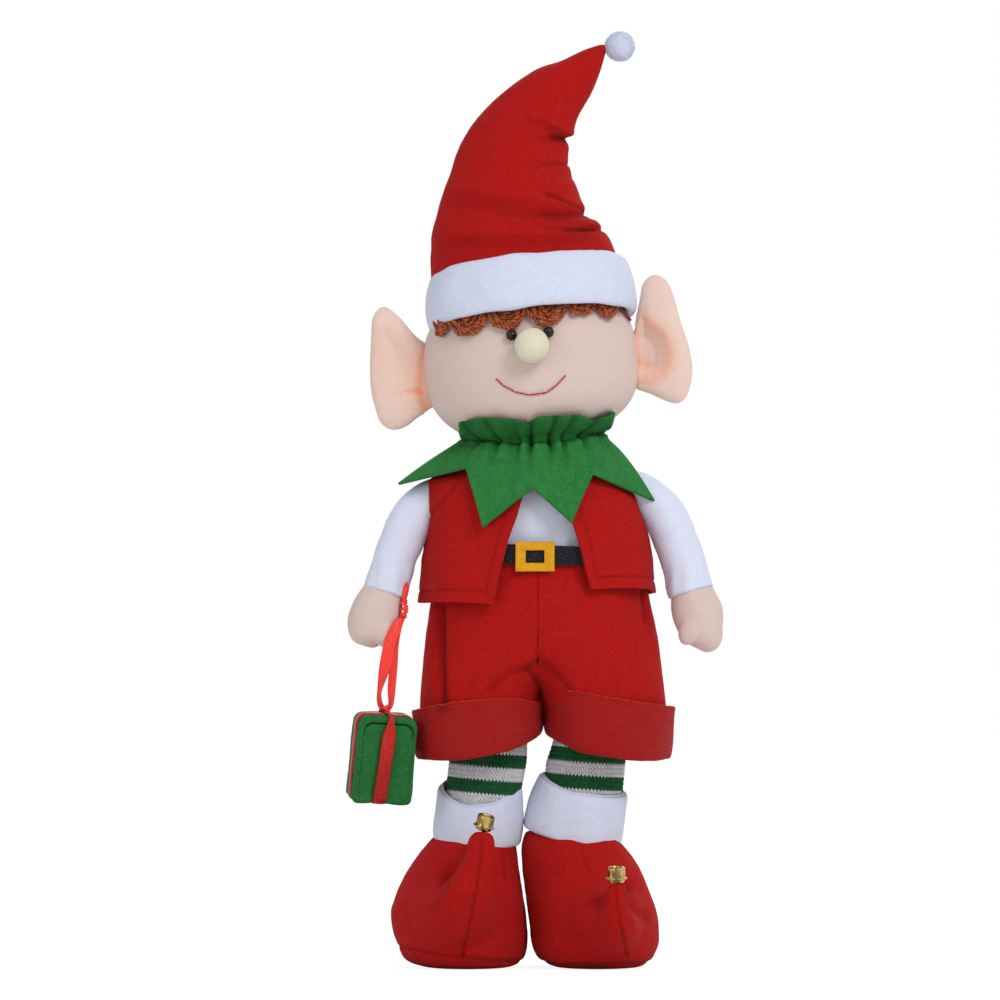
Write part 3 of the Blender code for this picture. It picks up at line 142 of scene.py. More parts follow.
HAND_STATIONS = {
    "right": [(-0.0716, -0.0070, 0.1812, 0.0098, 0.0098), (-0.0752, -0.0080, 0.1720, 0.0122, 0.0108),
              (-0.0778, -0.0090, 0.1640, 0.0122, 0.0100), (-0.0792, -0.0098, 0.1585, 0.0098, 0.0082),
              (-0.0796, -0.0102, 0.1548, 0.0050, 0.0042), (-0.0798, -0.0103, 0.1538, 0.0014, 0.0012)],
    "left": [(0.0756, -0.0070, 0.1817, 0.0100, 0.0098), (0.0780, -0.0080, 0.1720, 0.0122, 0.0108),
             (0.0804, -0.0090, 0.1640, 0.0112, 0.0100), (0.0834, -0.0098, 0.1570, 0.0076, 0.0072),
             (0.0848, -0.0102, 0.1528, 0.0038, 0.0036), (0.0852, -0.0103, 0.1516, 0.0012, 0.0012)],
}
THUMBS = {"right": ((-0.0726, -0.0150, 0.1622), (0.0056, 0.0044, 0.0090), -0.35),
          "left": ((0.0756, -0.0150, 0.1634), (0.0056, 0.0044, 0.0090), 0.5)}

# Belt and buckle
BELT_HEIGHT, BELT_BOTTOM, BELT_SLOPE = 0.0092, 0.1940, math.radians(3.0)
BUCKLE_SIZE, BUCKLE_HOLE, BUCKLE_CENTRE = (0.0187, 0.0142), (0.0088, 0.0060), (0.0004, 0.1978)

# Trousers
HIP_RINGS = [(0.0034, 0.0, 0.1965, 0.0470, 0.0348), (0.0035, 0.0, 0.1890, 0.0474, 0.0350),
             (0.0036, 0.0, 0.1820, 0.0514, 0.0370), (0.0030, 0.0, 0.1720, 0.0534, 0.0380),
             (0.0038, 0.0, 0.1580, 0.0562, 0.0378)]
HIP_SIDES, HIP_SQUARE = 24, 2.4
HIP_PLEATS, PLEAT_WIDTH = (math.radians(64), math.radians(-64)), math.radians(9)
PLEAT_DEPTH, PLEAT_FADE = 0.07, 0.02
CROTCH_X, CROTCH_Z, CROTCH_STEPS, CROTCH_TUCK = 0.0020, 0.1362, 4, 0.8
LEG_RINGS = {"right": [(-0.0256, 0.0, 0.1330, 0.0279, 0.0345), (-0.0250, 0.0, 0.1220, 0.0286, 0.0320)],
             "left": [(0.0324, 0.0, 0.1330, 0.0294, 0.0345), (0.0342, 0.0, 0.1220, 0.0288, 0.0320)]}
LEG_SQUARE, LEG_OPENING = 2.2, math.radians(110)
LEG_SWELL = 1.025
CUFF_CENTRES, CUFF_HALF = {"right": -0.0264, "left": 0.0356}, (0.0302, 0.0345)
CUFF_BOTTOM, CUFF_INNER_RISE, CUFF_STANDOFF = 0.0998, 0.0120, 0.0030
CUFF_FIRST_ROW = 4
# Height of a cuff's top edge at even steps round it, starting at its front and going outwards
CUFF_TOPS = {"right": [0.1290, 0.1275, 0.1240, 0.1228, 0.1230, 0.1240,
                       0.1250, 0.1255, 0.1262, 0.1275, 0.1270, 0.1305],
             "left": [0.1300, 0.1275, 0.1256, 0.1246, 0.1240, 0.1245,
                      0.1250, 0.1255, 0.1262, 0.1300, 0.1325, 0.1345]}
# Each crease: its line, depth and half width
TROUSER_PLEATS = [([(-0.0440, 0.1740), (-0.0436, 0.1520), (-0.0428, 0.1272)], 3.0, 2.2),
                  ([(0.0520, 0.1810), (0.0538, 0.1660)], 2.2, 2.0),
                  ([(0.0022, 0.1488), (-0.0031, 0.1445), (0.0010, 0.1380)], 1.5, 1.6),
                  ([(0.0050, 0.1470), (0.0120, 0.1400), (0.0170, 0.1345)], 1.5, 2.2),
                  ([(-0.0036, 0.1440), (-0.0120, 0.1420), (-0.0210, 0.1340)], 1.6, 2.4),
                  ([(-0.0300, 0.1330), (-0.0280, 0.1420)], 0.7, 3.0),
                  ([(0.0400, 0.1330), (0.0380, 0.1440)], 0.7, 3.0)]
TROUSER_SEAM, SEAM_FOOT = 0.0018, 0.1380
# A leg's middle line and its girth, for the cuff's weave to run round
LEG_MIDDLE, LEG_GIRTH = 0.0290, 0.0300

# Vest
VEST_RINGS = [(0.0020, 0.0, 0.1720, 0.0558, 0.0425), (0.0019, 0.0, 0.1960, 0.0545, 0.0408),
              (0.0025, 0.0, 0.2140, 0.0510, 0.0380), (0.0024, 0.0, 0.2250, 0.0470, 0.0352),
              (0.0018, 0.0, 0.2340, 0.0410, 0.0318), (0.0012, 0.0, 0.2420, 0.0315, 0.0267)]
VEST_EDGES = [(0.1740, -0.0196, 0.0284), (0.1785, -0.0188, 0.0280), (0.1900, -0.0164, 0.0246),
              (0.2060, -0.0120, 0.0206), (0.2170, -0.0080, 0.0170), (0.2420, -0.0010, 0.0080)]
VEST_HEMS, VEST_TOP = {"right": 0.1742, "left": 0.1822}, 0.2415
ARMHOLE_PLACES, ARMHOLE_HALF = {"right": (-0.0790, 0.2200), "left": (0.0360, 0.2205)}, (0.0122, 0.0146)
ARMHOLE_REACH = 0.0360
SHOULDER_SEAM = [(-0.0350, 0.2347), (-0.0432, 0.2237), (-0.0490, 0.2170)]
SHOULDER_FULLNESS = [(0.2000, 0.0), (0.2140, 0.03), (0.2250, 0.13), (0.2340, 0.25), (0.2420, 0.12)]

# Collar
NECK_CENTRE, NECK_HALF = np.array((0.0010, 0.0, 0.2500)), (0.0288, 0.0258)
COLLAR_TIPS = [(-0.0650, -0.0100, 0.2322), (-0.0246, -0.0425, 0.2115), (0.0180, -0.0430, 0.2138),
               (0.0575, -0.0130, 0.2242), (0.0240, 0.0430, 0.2130), (-0.0220, 0.0430, 0.2130)]
COLLAR_VALLEYS = [(-0.0325, -0.0318, 0.2400), (-0.0006, -0.0405, 0.2306), (0.0278, -0.0345, 0.2372),
                  (0.0420, 0.0240, 0.2380), (0.0010, 0.0400, 0.2320), (-0.0400, 0.0240, 0.2380)]
COLLAR_NECK_ANGLES = [-52, 0, 52, 125, 180, 235]
COLLAR_COLUMNS, RUFFLE_ROWS, POINT_ROWS = 456, 14, 34
COLLAR_SPREAD, COLLAR_JOIN, RUFFLE_HALF = 0.0085, math.radians(-4), 0.0355
# The ruffle's flare and height in mm at angles round the neck
RUFFLE_TOPS = [(-180, 6.0, 12.0), (-150, 9.0, 11.0), (-125, 4.5, 12.5), (-104, 8.5, 11.0), (-84, 10.0, 9.0),
               (-66, 5.0, 9.5), (-54, 0.8, 10.0), (-42, 4.5, 12.0), (-28, 6.5, 12.8), (-14, 4.2, 12.0),
               (-6, 1.5, 10.4), (-1, 3.0, 13.2), (12, 5.0, 13.4), (28, 4.6, 12.8), (41, 0.6, 8.6),
               (50, 3.6, 10.6), (62, 5.5, 12.0), (88, 9.5, 10.6), (108, 6.0, 11.5), (130, 8.5, 11.0),
               (156, 4.5, 12.5)]

# Stockings
LEG_STATIONS = {"right": [(-0.0268, 0.0010, 0.0640, 0.0170, 0.0170), (-0.0245, 0.0, 0.0830, 0.0172, 0.0172),
                          (-0.0221, 0.0, 0.0990, 0.0178, 0.0178), (-0.0214, 0.0, 0.1300, 0.0178, 0.0178)],
                "left": [(0.0190, 0.0010, 0.0640, 0.0176, 0.0176), (0.0240, 0.0, 0.0860, 0.0180, 0.0180),
                         (0.0249, 0.0, 0.0980, 0.0182, 0.0182), (0.0268, 0.0, 0.1080, 0.0168, 0.0176),
                         (0.0285, 0.0, 0.1300, 0.0165, 0.0175)]}
STITCH_PITCH, STITCH_ROW, STRIPE_ROWS, STITCH_SIZE = 0.00176, 0.00215, 3, 0.00039
KNIT_SPAN, STRIPE_SLANT = (0.0754, 0.1120), {"right": math.radians(-5), "left": math.radians(-4)}
STRIPE_PHASE, KNIT_RADIUS = {"right": 5, "left": 4}, 0.0176

# Boots
BAND_PLACES = {"right": (np.array((-0.0266, 0.0008, 0.0738)), math.radians(9), math.radians(3), 1.0),
               "left": (np.array((0.0205, 0.0008, 0.0752)), math.radians(7), math.radians(14), 1.1)}
BAND_SAG, SAG_PLACE, SAG_WIDTH = {"right": 0.0072, "left": 0.0030}, math.radians(-14), math.radians(60)
BAND_PROFILE = [(0.0172, 0.0124), (0.0186, 0.0136), (0.0200, 0.0120), (0.0208, 0.0050), (0.0215, -0.0030),
                (0.0217, -0.0104), (0.0210, -0.0130), (0.0190, -0.0136), (0.0174, -0.0112)]
BOOT_STATIONS = {
    "right": [(-0.0320, -0.0040, 0.0002, 0.0200, 0.0290), (-0.0326, -0.0040, 0.0014, 0.0236, 0.0330),
              (-0.0330, -0.0040, 0.0029, 0.0266, 0.0368), (-0.0337, -0.0041, 0.0049, 0.0290, 0.0395),
              (-0.0342, -0.0042, 0.0084, 0.0306, 0.0412), (-0.0347, -0.0044, 0.0126, 0.0316, 0.0420),
              (-0.0356, -0.0045, 0.0182, 0.0326, 0.0420), (-0.0363, -0.0044, 0.0265, 0.0324, 0.0402),
              (-0.0356, -0.0040, 0.0340, 0.0306, 0.0365), (-0.0336, -0.0010, 0.0480, 0.0262, 0.0285),
              (-0.0300, 0.0010, 0.0590, 0.0214, 0.0220), (-0.0276, 0.0010, 0.0650, 0.0170, 0.0175)],
    "left": [(0.0306, -0.0040, 0.0002, 0.0200, 0.0290), (0.0300, -0.0040, 0.0014, 0.0228, 0.0330),
             (0.0296, -0.0040, 0.0029, 0.0256, 0.0368), (0.0294, -0.0041, 0.0049, 0.0277, 0.0395),
             (0.0295, -0.0042, 0.0084, 0.0296, 0.0412), (0.0294, -0.0044, 0.0126, 0.0307, 0.0420),
             (0.0291, -0.0045, 0.0182, 0.0310, 0.0420), (0.0280, -0.0044, 0.0265, 0.0310, 0.0402),
             (0.0262, -0.0040, 0.0340, 0.0302, 0.0365), (0.0226, -0.0010, 0.0480, 0.0282, 0.0290),
             (0.0184, 0.0010, 0.0590, 0.0241, 0.0230), (0.0170, 0.0010, 0.0650, 0.0205, 0.0185)],
}
TOE_STATIONS = {
    "right": [(-0.0365, -0.0100, 0.0262, 0.0250, 0.0180), (-0.0365, -0.0290, 0.0262, 0.0240, 0.0180),
              (-0.0350, -0.0430, 0.0280, 0.0180, 0.0155), (-0.0322, -0.0520, 0.0380, 0.0128, 0.0115),
              (-0.0284, -0.0546, 0.0490, 0.0094, 0.0085), (-0.0260, -0.0542, 0.0575, 0.0074, 0.0068),
              (-0.0250, -0.0536, 0.0642, 0.0060, 0.0056), (-0.0246, -0.0532, 0.0669, 0.0036, 0.0036)],
    "left": [(0.0290, -0.0100, 0.0258, 0.0250, 0.0175), (0.0320, -0.0290, 0.0248, 0.0225, 0.0165),
             (0.0362, -0.0440, 0.0220, 0.0160, 0.0140), (0.0390, -0.0545, 0.0250, 0.0100, 0.0098),
             (0.0396, -0.0586, 0.0315, 0.0070, 0.0074), (0.0394, -0.0590, 0.0388, 0.0058, 0.0060),
             (0.0391, -0.0588, 0.0422, 0.0036, 0.0036)],
}
# Seams and hollows in the front of each boot, seen from the front
BOOT_SEAMS = {"right": [(-0.0254, 0.0640), (-0.0254, 0.0528), (-0.0288, 0.0317), (-0.0345, 0.0060)],
              "left": [(0.0389, 0.0398), (0.0403, 0.0264), (0.0446, 0.0060)]}
UPPER_SEAMS = {"right": [(-0.0150, 0.0560), (-0.0130, 0.0420)], "left": [(0.0226, 0.0566), (0.0264, 0.0470)]}
BOOT_VALLEYS = {"right": [(-0.0490, 0.0300), (-0.0432, 0.0394), (-0.0394, 0.0490), (-0.0336, 0.0580)],
                "left": [(0.0446, 0.0395), (0.0452, 0.0320), (0.0540, 0.0250)]}
SOLE_SEAM, SEAM_DEPTH, BOOT_FILL = 0.0062, 0.75, 36

# Bells
BELL_LEAN, BELL_NOD = {"right": math.radians(14), "left": 0.0}, math.radians(8)
BELL_RADIUS, BELL_FLANGE, BELL_TOP, BELL_WALL = 0.0042, 0.0052, 0.0080, 0.0005
BELL_BASE, BELL_BRIM, BELL_STEM, BELL_SLOT = 0.0036, 0.0022, 0.0008, 0.0012

# Gift and its ribbons
GIFT_CENTRE, GIFT_SIZE = np.array((-0.0728, -0.0200, 0.1013)), np.array((0.0284, 0.0220, 0.0418))
GIFT_TURN, GIFT_LEAN, GIFT_NOD = math.radians(12), math.radians(4), math.radians(7)
GIFT_COLUMNS, GIFT_GROOVE = 180, 0.838
RIBBON_WIDTH, RIBBON = 0.0062, 0.0004
# A ribbon's section: share of its half width, and rise in thicknesses
RIBBON_SECTION = [(-1, 0), (-0.9, 1), (0, 1.2), (0.9, 1), (1, 0), (0, 0.1)]
# The hanging strands and the frayed end: centre, width and turn. The knots: centre and size
HANG_ROWS = [
    [(-0.0626, -0.0150, 0.1690, 0.0016, 0.0), (-0.0660, -0.0184, 0.1637, 0.0052, 0.2),
     (-0.0692, -0.0208, 0.1555, 0.0056, 0.1), (-0.0708, -0.0220, 0.1478, 0.0057, -0.1),
     (-0.0722, -0.0224, 0.1416, 0.0052, -0.5), (-0.0740, -0.0222, 0.1334, 0.0044, -1.10),
     (-0.0741, -0.0220, 0.1286, 0.0036, -0.9), (-0.0730, -0.0216, 0.1254, 0.0028, -0.4),
     (-0.0713, -0.0214, 0.1242, 0.0018, 0.0)],
    [(-0.0622, -0.0142, 0.1690, 0.0016, 0.0), (-0.0655, -0.0170, 0.1637, 0.0044, -0.2),
     (-0.0670, -0.0196, 0.1555, 0.0044, 0.1), (-0.0674, -0.0208, 0.1478, 0.0044, 0.2),
     (-0.0677, -0.0210, 0.1416, 0.0041, 0.3), (-0.0683, -0.0208, 0.1334, 0.0038, 0.3),
     (-0.0685, -0.0206, 0.1277, 0.0030, 0.6), (-0.0695, -0.0206, 0.1250, 0.0024, 0.3),
     (-0.0708, -0.0208, 0.1242, 0.0018, 0.0)],
    [(-0.0625, -0.0146, 0.1740, 0.0020, 0.3), (-0.0621, -0.0140, 0.1778, 0.0024, 0.5),
     (-0.0615, -0.0134, 0.1812, 0.0028, 0.2), (-0.0617, -0.0132, 0.1832, 0.0032, 0.1)],
]
KNOTS = [((-0.0625, -0.0148, 0.1752), 0.0013), ((-0.0622, -0.0148, 0.1724), 0.0014),
         ((-0.0626, -0.0150, 0.1698), 0.0011), ((-0.0711, -0.0210, 0.1250), 0.0016)]

# Light and floor: each lamp's place, size and power
WORLD_STRENGTH, FLOOR_LIGHT, FLOOR_SHADE = 0.60, 0.88, 0.25
LAMPS = [("key", (0.9, -1.4, 1.5), 0.8, 17.5), ("fill", (-1.3, -1.4, 0.6), 1.1, 4),
         ("back", (0.3, 1.2, 1.2), 0.8, 8)]

# Camera: how far off it stands, how high it looks from, how wide it sees and what it looks at
CAMERA_REACH, CAMERA_RISE, FRAME_WIDTH = 6.0, math.radians(0.5), 0.48
CAMERA_AIM = (-0.0170, 0.0, 0.2246)


def srgb(red, green, blue):
    """Screen colours from 0 to 255 as linear ones."""
    return tuple(((c / 255 + 0.055) / 1.055) ** 2.4 if c > 10 else c / 3294.6 for c in (red, green, blue))


def spline(rows, count, closed=False):
    """Rows of numbers read at evenly spaced steps along a smooth curve through them."""
    rows = np.asarray(rows, float)
    if closed:
        padded = np.vstack([rows[-1:], rows, rows[:2]])
        places = np.linspace(0, len(rows), count, endpoint=False)
    else:
        padded = np.vstack([2 * rows[:1] - rows[1:2], rows, 2 * rows[-1:] - rows[-2:-1]])
        places = np.linspace(0, len(rows) - 1, count)
    last = len(rows) - 1 if closed else len(rows) - 2
    index = np.minimum(places.astype(int), last)
    t = (places - index)[:, None]
    a, b, c, d = (padded[index + k] for k in range(4))
    square, cube = 2 * a - 5 * b + 4 * c - d, 3 * b - a - 3 * c + d
    return 0.5 * (2 * b + (c - a) * t + square * t ** 2 + cube * t ** 3)


def rows_at(rows, values, key=2):
    """Station rows read at the given values of one column, by straight interpolation."""
    table = np.asarray(sorted(rows, key=lambda row: row[key]), float)
    return np.stack([np.interp(values, table[:, key], table[:, k]) for k in range(table.shape[1])], axis=-1)


def oval(angles, power):
    """Points of the unit superellipse. Angle 0 is the front, and a quarter turn is the left side."""
    s, c = np.sin(angles), np.cos(angles)
    return np.sign(s) * np.abs(s) ** (2 / power), -np.sign(c) * np.abs(c) ** (2 / power)


def turns(count):
    return np.linspace(0, 2 * math.pi, count, endpoint=False)


def unit(vectors):
    """Each row brought to a length of 1."""
    return vectors / (np.linalg.norm(vectors, axis=1, keepdims=True) + 1e-12)


def hump(values, width):
    """1 where a value is 0, falling smoothly to 0 well beyond the width."""
    return np.exp(-(values / width) ** 2)


def smooth_step(values):
    held = np.clip(values, 0, 1)
    return held * held * (3 - 2 * held)


def levels(stations, rows, columns, power=2.0):
    """A grid of points on level ovals, one above the other."""
    data = spline(stations, rows)
    u, v = oval(turns(columns), power)
    x = data[:, 0:1] + data[:, 3:4] * u
    y = data[:, 1:2] + data[:, 4:5] * v
    return np.stack([x, y, np.broadcast_to(data[:, 2:3], x.shape)], axis=-1)


def sweep(stations, rows, columns):
    """A grid of points on ovals that stand square to the curve through the stations."""
    data = spline(stations, rows)
    along = unit(np.gradient(data[:, :3], axis=0))
    across = unit(np.array((1.0, 0, 0)) - along * along[:, :1])
    depth = np.cross(along, across)
    u, v = oval(turns(columns), 2.0)
    return (data[:, None, :3] + across[:, None] * (u[None, :] * data[:, 3:4])[..., None]
            + depth[:, None] * (v[None, :] * data[:, 4:5])[..., None])


def mesh_of(name, grid, wrap=True, loop=False, caps=True):
    """A mesh over a grid of points. It wraps across, and along too if loop is set. Caps close its ends."""
    rows, columns = grid.shape[:2]
    index = np.arange(rows * columns).reshape(rows, columns)
    low = index if loop else index[:-1]
    high = np.roll(index, -1, axis=0) if loop else index[1:]
    if wrap:
        faces = np.stack([low, np.roll(low, -1, axis=1), np.roll(high, -1, axis=1), high], axis=-1)
    else:
        faces = np.stack([low[:, :-1], low[:, 1:], high[:, 1:], high[:, :-1]], axis=-1)
    faces = faces.reshape(-1, 4).tolist()
    if caps and wrap and not loop:
        faces += [index[0][::-1].tolist(), index[-1].tolist()]
    mesh = bpy.data.meshes.new(name)
    mesh.from_pydata((grid.reshape(-1, 3)).tolist(), [], faces)
    if wrap:
        bm = opened(mesh)
        bmesh.ops.recalc_face_normals(bm, faces=bm.faces)
        bm.to_mesh(mesh)
        bm.free()
    mesh.shade_smooth()
    return mesh


def opened(*meshes):
    """The meshes together, ready for their points and faces to be edited."""
    bm = bmesh.new()
    for mesh in meshes:
        bm.from_mesh(mesh)
    bm.verts.ensure_lookup_table()
    return bm


def points_of(mesh):
    found = np.empty(len(mesh.vertices) * 3)
    mesh.vertices.foreach_get("co", found)
    return found.reshape(-1, 3)


def normals_of(mesh):
    found = np.empty(len(mesh.vertices) * 3)
    mesh.vertex_normals.foreach_get("vector", found)
    return found.reshape(-1, 3)


def set_points(mesh, points):
    mesh.vertices.foreach_set("co", points.reshape(-1))
    mesh.update()


def pushed(mesh, amounts):
    """Moves each point along its normal by its amount in metres."""
    set_points(mesh, points_of(mesh) + normals_of(mesh) * np.asarray(amounts)[:, None])
    return mesh


def marked(mesh, name, values):
    """Keeps a value from 0 to 1 at each point of the mesh, for its material to read."""
    attribute = mesh.attributes.new(name, "FLOAT", "POINT")
    attribute.data.foreach_set("value", np.clip(values, 0, 1))
    return mesh


def lumps(points, size, seed=0.0):
    """Smooth noise from -1 to 1 whose lumps are about this size."""
    shift = Vector((seed * 7.1, seed * 3.3, seed * 5.7))
    return np.array([noise.noise(Vector(point) / size + shift) for point in points])


def near_line(points, line, width):
    """How close each point, seen from the front, is to a line of (x, z) points: 1 on it, 0 well away."""
    place = points[:, [0, 2]]
    best = np.full(len(points), 1e9)
    for start, end in zip(np.asarray(line)[:-1], np.asarray(line)[1:]):
        way = end - start
        share = np.clip(((place - start) @ way) / (way @ way), 0, 1)
        best = np.minimum(best, np.linalg.norm(place - start - share[:, None] * way, axis=1))
    return np.exp(-(best / width) ** 2)


def depth_inside(places, outline):
    """How deep each (x, z) place lies inside a closed outline, and below 0 outside it."""
    corners = np.asarray(outline)
    ends = np.roll(corners, -1, axis=0)
    nearest, crossings = np.full(len(places), 1e9), np.zeros(len(places), int)
    for start, end in zip(corners, ends):
        way = end - start
        share = np.clip(((places - start) @ way) / (way @ way), 0, 1)
        nearest = np.minimum(nearest, np.linalg.norm(places - start - share[:, None] * way, axis=1))
        spans = (start[1] > places[:, 1]) != (end[1] > places[:, 1])
        reach = start[0] + (places[:, 1] - start[1]) / (end[1] - start[1] + 1e-12) * way[0]
        crossings += spans & (places[:, 0] < reach)
    return np.where(crossings % 2 == 1, nearest, -nearest)


def piece(name, mesh, finish, replaced=()):
    """An object of the figurine that rides on the frame and stands for the CAD nodes named."""
    obj = loose(name, mesh)
    mesh.transform(Matrix.Translation(MIDDLE_LINE))
    for finish_part in finish if isinstance(finish, (list, tuple)) else [finish]:
        mesh.materials.append(finish_part)
    if replaced:
        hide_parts(*([replaced] if isinstance(replaced, str) else replaced))
    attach(obj, "root")
    return obj


def evaluated(obj):
    """The object's mesh with its modifiers applied. The object itself is removed."""
    bpy.context.view_layer.update()
    mesh = bpy.data.meshes.new_from_object(obj.evaluated_get(bpy.context.evaluated_depsgraph_get()))
    bpy.data.objects.remove(obj)
    return mesh


def loose(name, mesh):
    obj = bpy.data.objects.new(name, mesh)
    bpy.context.scene.collection.objects.link(obj)
    return obj


def solidified(obj, thickness):
    """Adds a thickness to the object's skin, half of it to each side."""
    solidify = obj.modifiers.new("Cloth", "SOLIDIFY")
    solidify.thickness = thickness
    solidify.offset = 0.0


def thickened(mesh, thickness):
    obj = loose("thick", mesh)
    solidified(obj, thickness)
    made = evaluated(obj)
    made.shade_smooth()
    return made


def cut_out(obj, tools, sharp):
    """The object's mesh with the tools' forms taken out of it, and its edges sharp from an angle up."""
    for tool in tools:
        cut = obj.modifiers.new("Cut", "BOOLEAN")
        cut.operation = "DIFFERENCE"
        cut.object = tool
    made = evaluated(obj)
    for tool in tools:
        bpy.data.objects.remove(tool)
    made.shade_smooth()
    made.set_sharp_from_angle(angle=math.radians(sharp))
    return made


def fused(name, meshes, voxel, smoothing):
    """Stuffed forms run together into one skin, as cloth stretched over them."""
    bm = opened(*meshes)
    joined = bpy.data.meshes.new(name)
    bm.to_mesh(joined)
    bm.free()
    obj = loose(name, joined)
    remesh = obj.modifiers.new("Skin", "REMESH")
    remesh.mode = "VOXEL"
    remesh.voxel_size = voxel
    smooth = obj.modifiers.new("Stretch", "SMOOTH")
    smooth.iterations = smoothing
    smooth.factor = 0.5
    made = evaluated(obj)
    made.shade_smooth()
    return made


def filled_in(mesh, rounds):
    """Lets the cloth bridge the hollows between the forms beneath it, as stuffing does."""
    bm = opened(mesh)
    rings = [[edge.other_vert(vert).index for edge in vert.link_edges] for vert in bm.verts]
    bm.free()
    most = max(len(ring) for ring in rings)
    counts = np.array([len(ring) for ring in rings])[:, None]
    table = np.array([ring + [i] * (most - len(ring)) for i, ring in enumerate(rings)])
    spare = most - counts
    points, normals = points_of(mesh), normals_of(mesh)
    for _ in range(rounds):
        mean = (points[table].sum(axis=1) - spare * points) / counts
        rise = np.sum((mean - points) * normals, axis=1)
        points = points + normals * (0.5 * np.maximum(rise, 0))[:, None]
    set_points(mesh, points)


def tube(points, radii, sides=6):
    """A round strand through the points, pointed at its ends where the radius comes to nothing."""
    points = np.asarray(points, float)
    along = unit(np.gradient(points, axis=0))
    frames = []
    across = np.cross(along[0], (0.13, 0.91, 0.4))
    for direction in along:
        across = across - direction * (across @ direction)
        across /= np.linalg.norm(across) + 1e-12
        frames.append((across, np.cross(direction, across)))
    frames = np.asarray(frames)
    angles = turns(sides)[None, :, None]
    ring = frames[:, 0:1] * np.cos(angles) + frames[:, 1:2] * np.sin(angles)
    return points[:, None] + ring * np.broadcast_to(radii, len(points))[:, None, None]


def bundle(name, grids):
    """Many strands of like grids as one mesh."""
    verts, faces, start = [], [], 0
    for grid in grids:
        rows, columns = grid.shape[:2]
        index = np.arange(rows * columns).reshape(rows, columns) + start
        quads = np.stack([index[:-1], np.roll(index[:-1], -1, axis=1), np.roll(index[1:], -1, axis=1),
                          index[1:]], axis=-1)
        faces += quads.reshape(-1, 4).tolist() + [index[0][::-1].tolist(), index[-1].tolist()]
        verts.append(grid.reshape(-1, 3))
        start += rows * columns
    mesh = bpy.data.meshes.new(name)
    mesh.from_pydata(np.vstack(verts).tolist(), [], faces)
    mesh.shade_smooth()
    return mesh


def pile(name, source, count, length, width, lie=0.5, keep=None):
    """Fibres that stand on a mesh's surface and lean at random: a thin blade for each."""
    source.calc_loop_triangles()
    corners = np.empty(len(source.loop_triangles) * 3, int)
    source.loop_triangles.foreach_get("vertices", corners)
    corners = corners.reshape(-1, 3)
    points, normals = points_of(source), normals_of(source)
    if keep is not None:
        corners = corners[keep(points[corners].mean(axis=1))]
    a, b, c = (points[corners[:, k]] for k in range(3))
    areas = np.linalg.norm(np.cross(b - a, c - a), axis=1)
    chosen = RNG.choice(len(corners), count, p=areas / areas.sum())
    share = RNG.random((count, 2))
    share[share.sum(axis=1) > 1] = 1 - share[share.sum(axis=1) > 1]
    root = a[chosen] + (b - a)[chosen] * share[:, :1] + (c - a)[chosen] * share[:, 1:]
    out = unit(normals[corners[chosen]].mean(axis=1))
    lean = RNG.normal(size=(count, 3))
    lean = unit(lean - out * np.sum(lean * out, axis=1, keepdims=True))
    side = np.cross(out, lean) * (width / 2)
    reach = length * RNG.uniform(0.5, 1.15, (count, 1))
    tip = root + out * reach * 0.45 + lean * reach * lie * 1.2
    root = root - out * length * 0.15
    verts = np.stack([root - side, root + side, tip], axis=1)
    faces = (np.arange(count) * 3)[:, None] + (0, 2, 1)
    mesh = bpy.data.meshes.new(name)
    mesh.from_pydata(verts.reshape(-1, 3).tolist(), [], faces.tolist())
    mesh.shade_smooth()
    mesh.normals_split_custom_set_from_vertices(np.repeat(out, 3, axis=0).tolist())
    return mesh


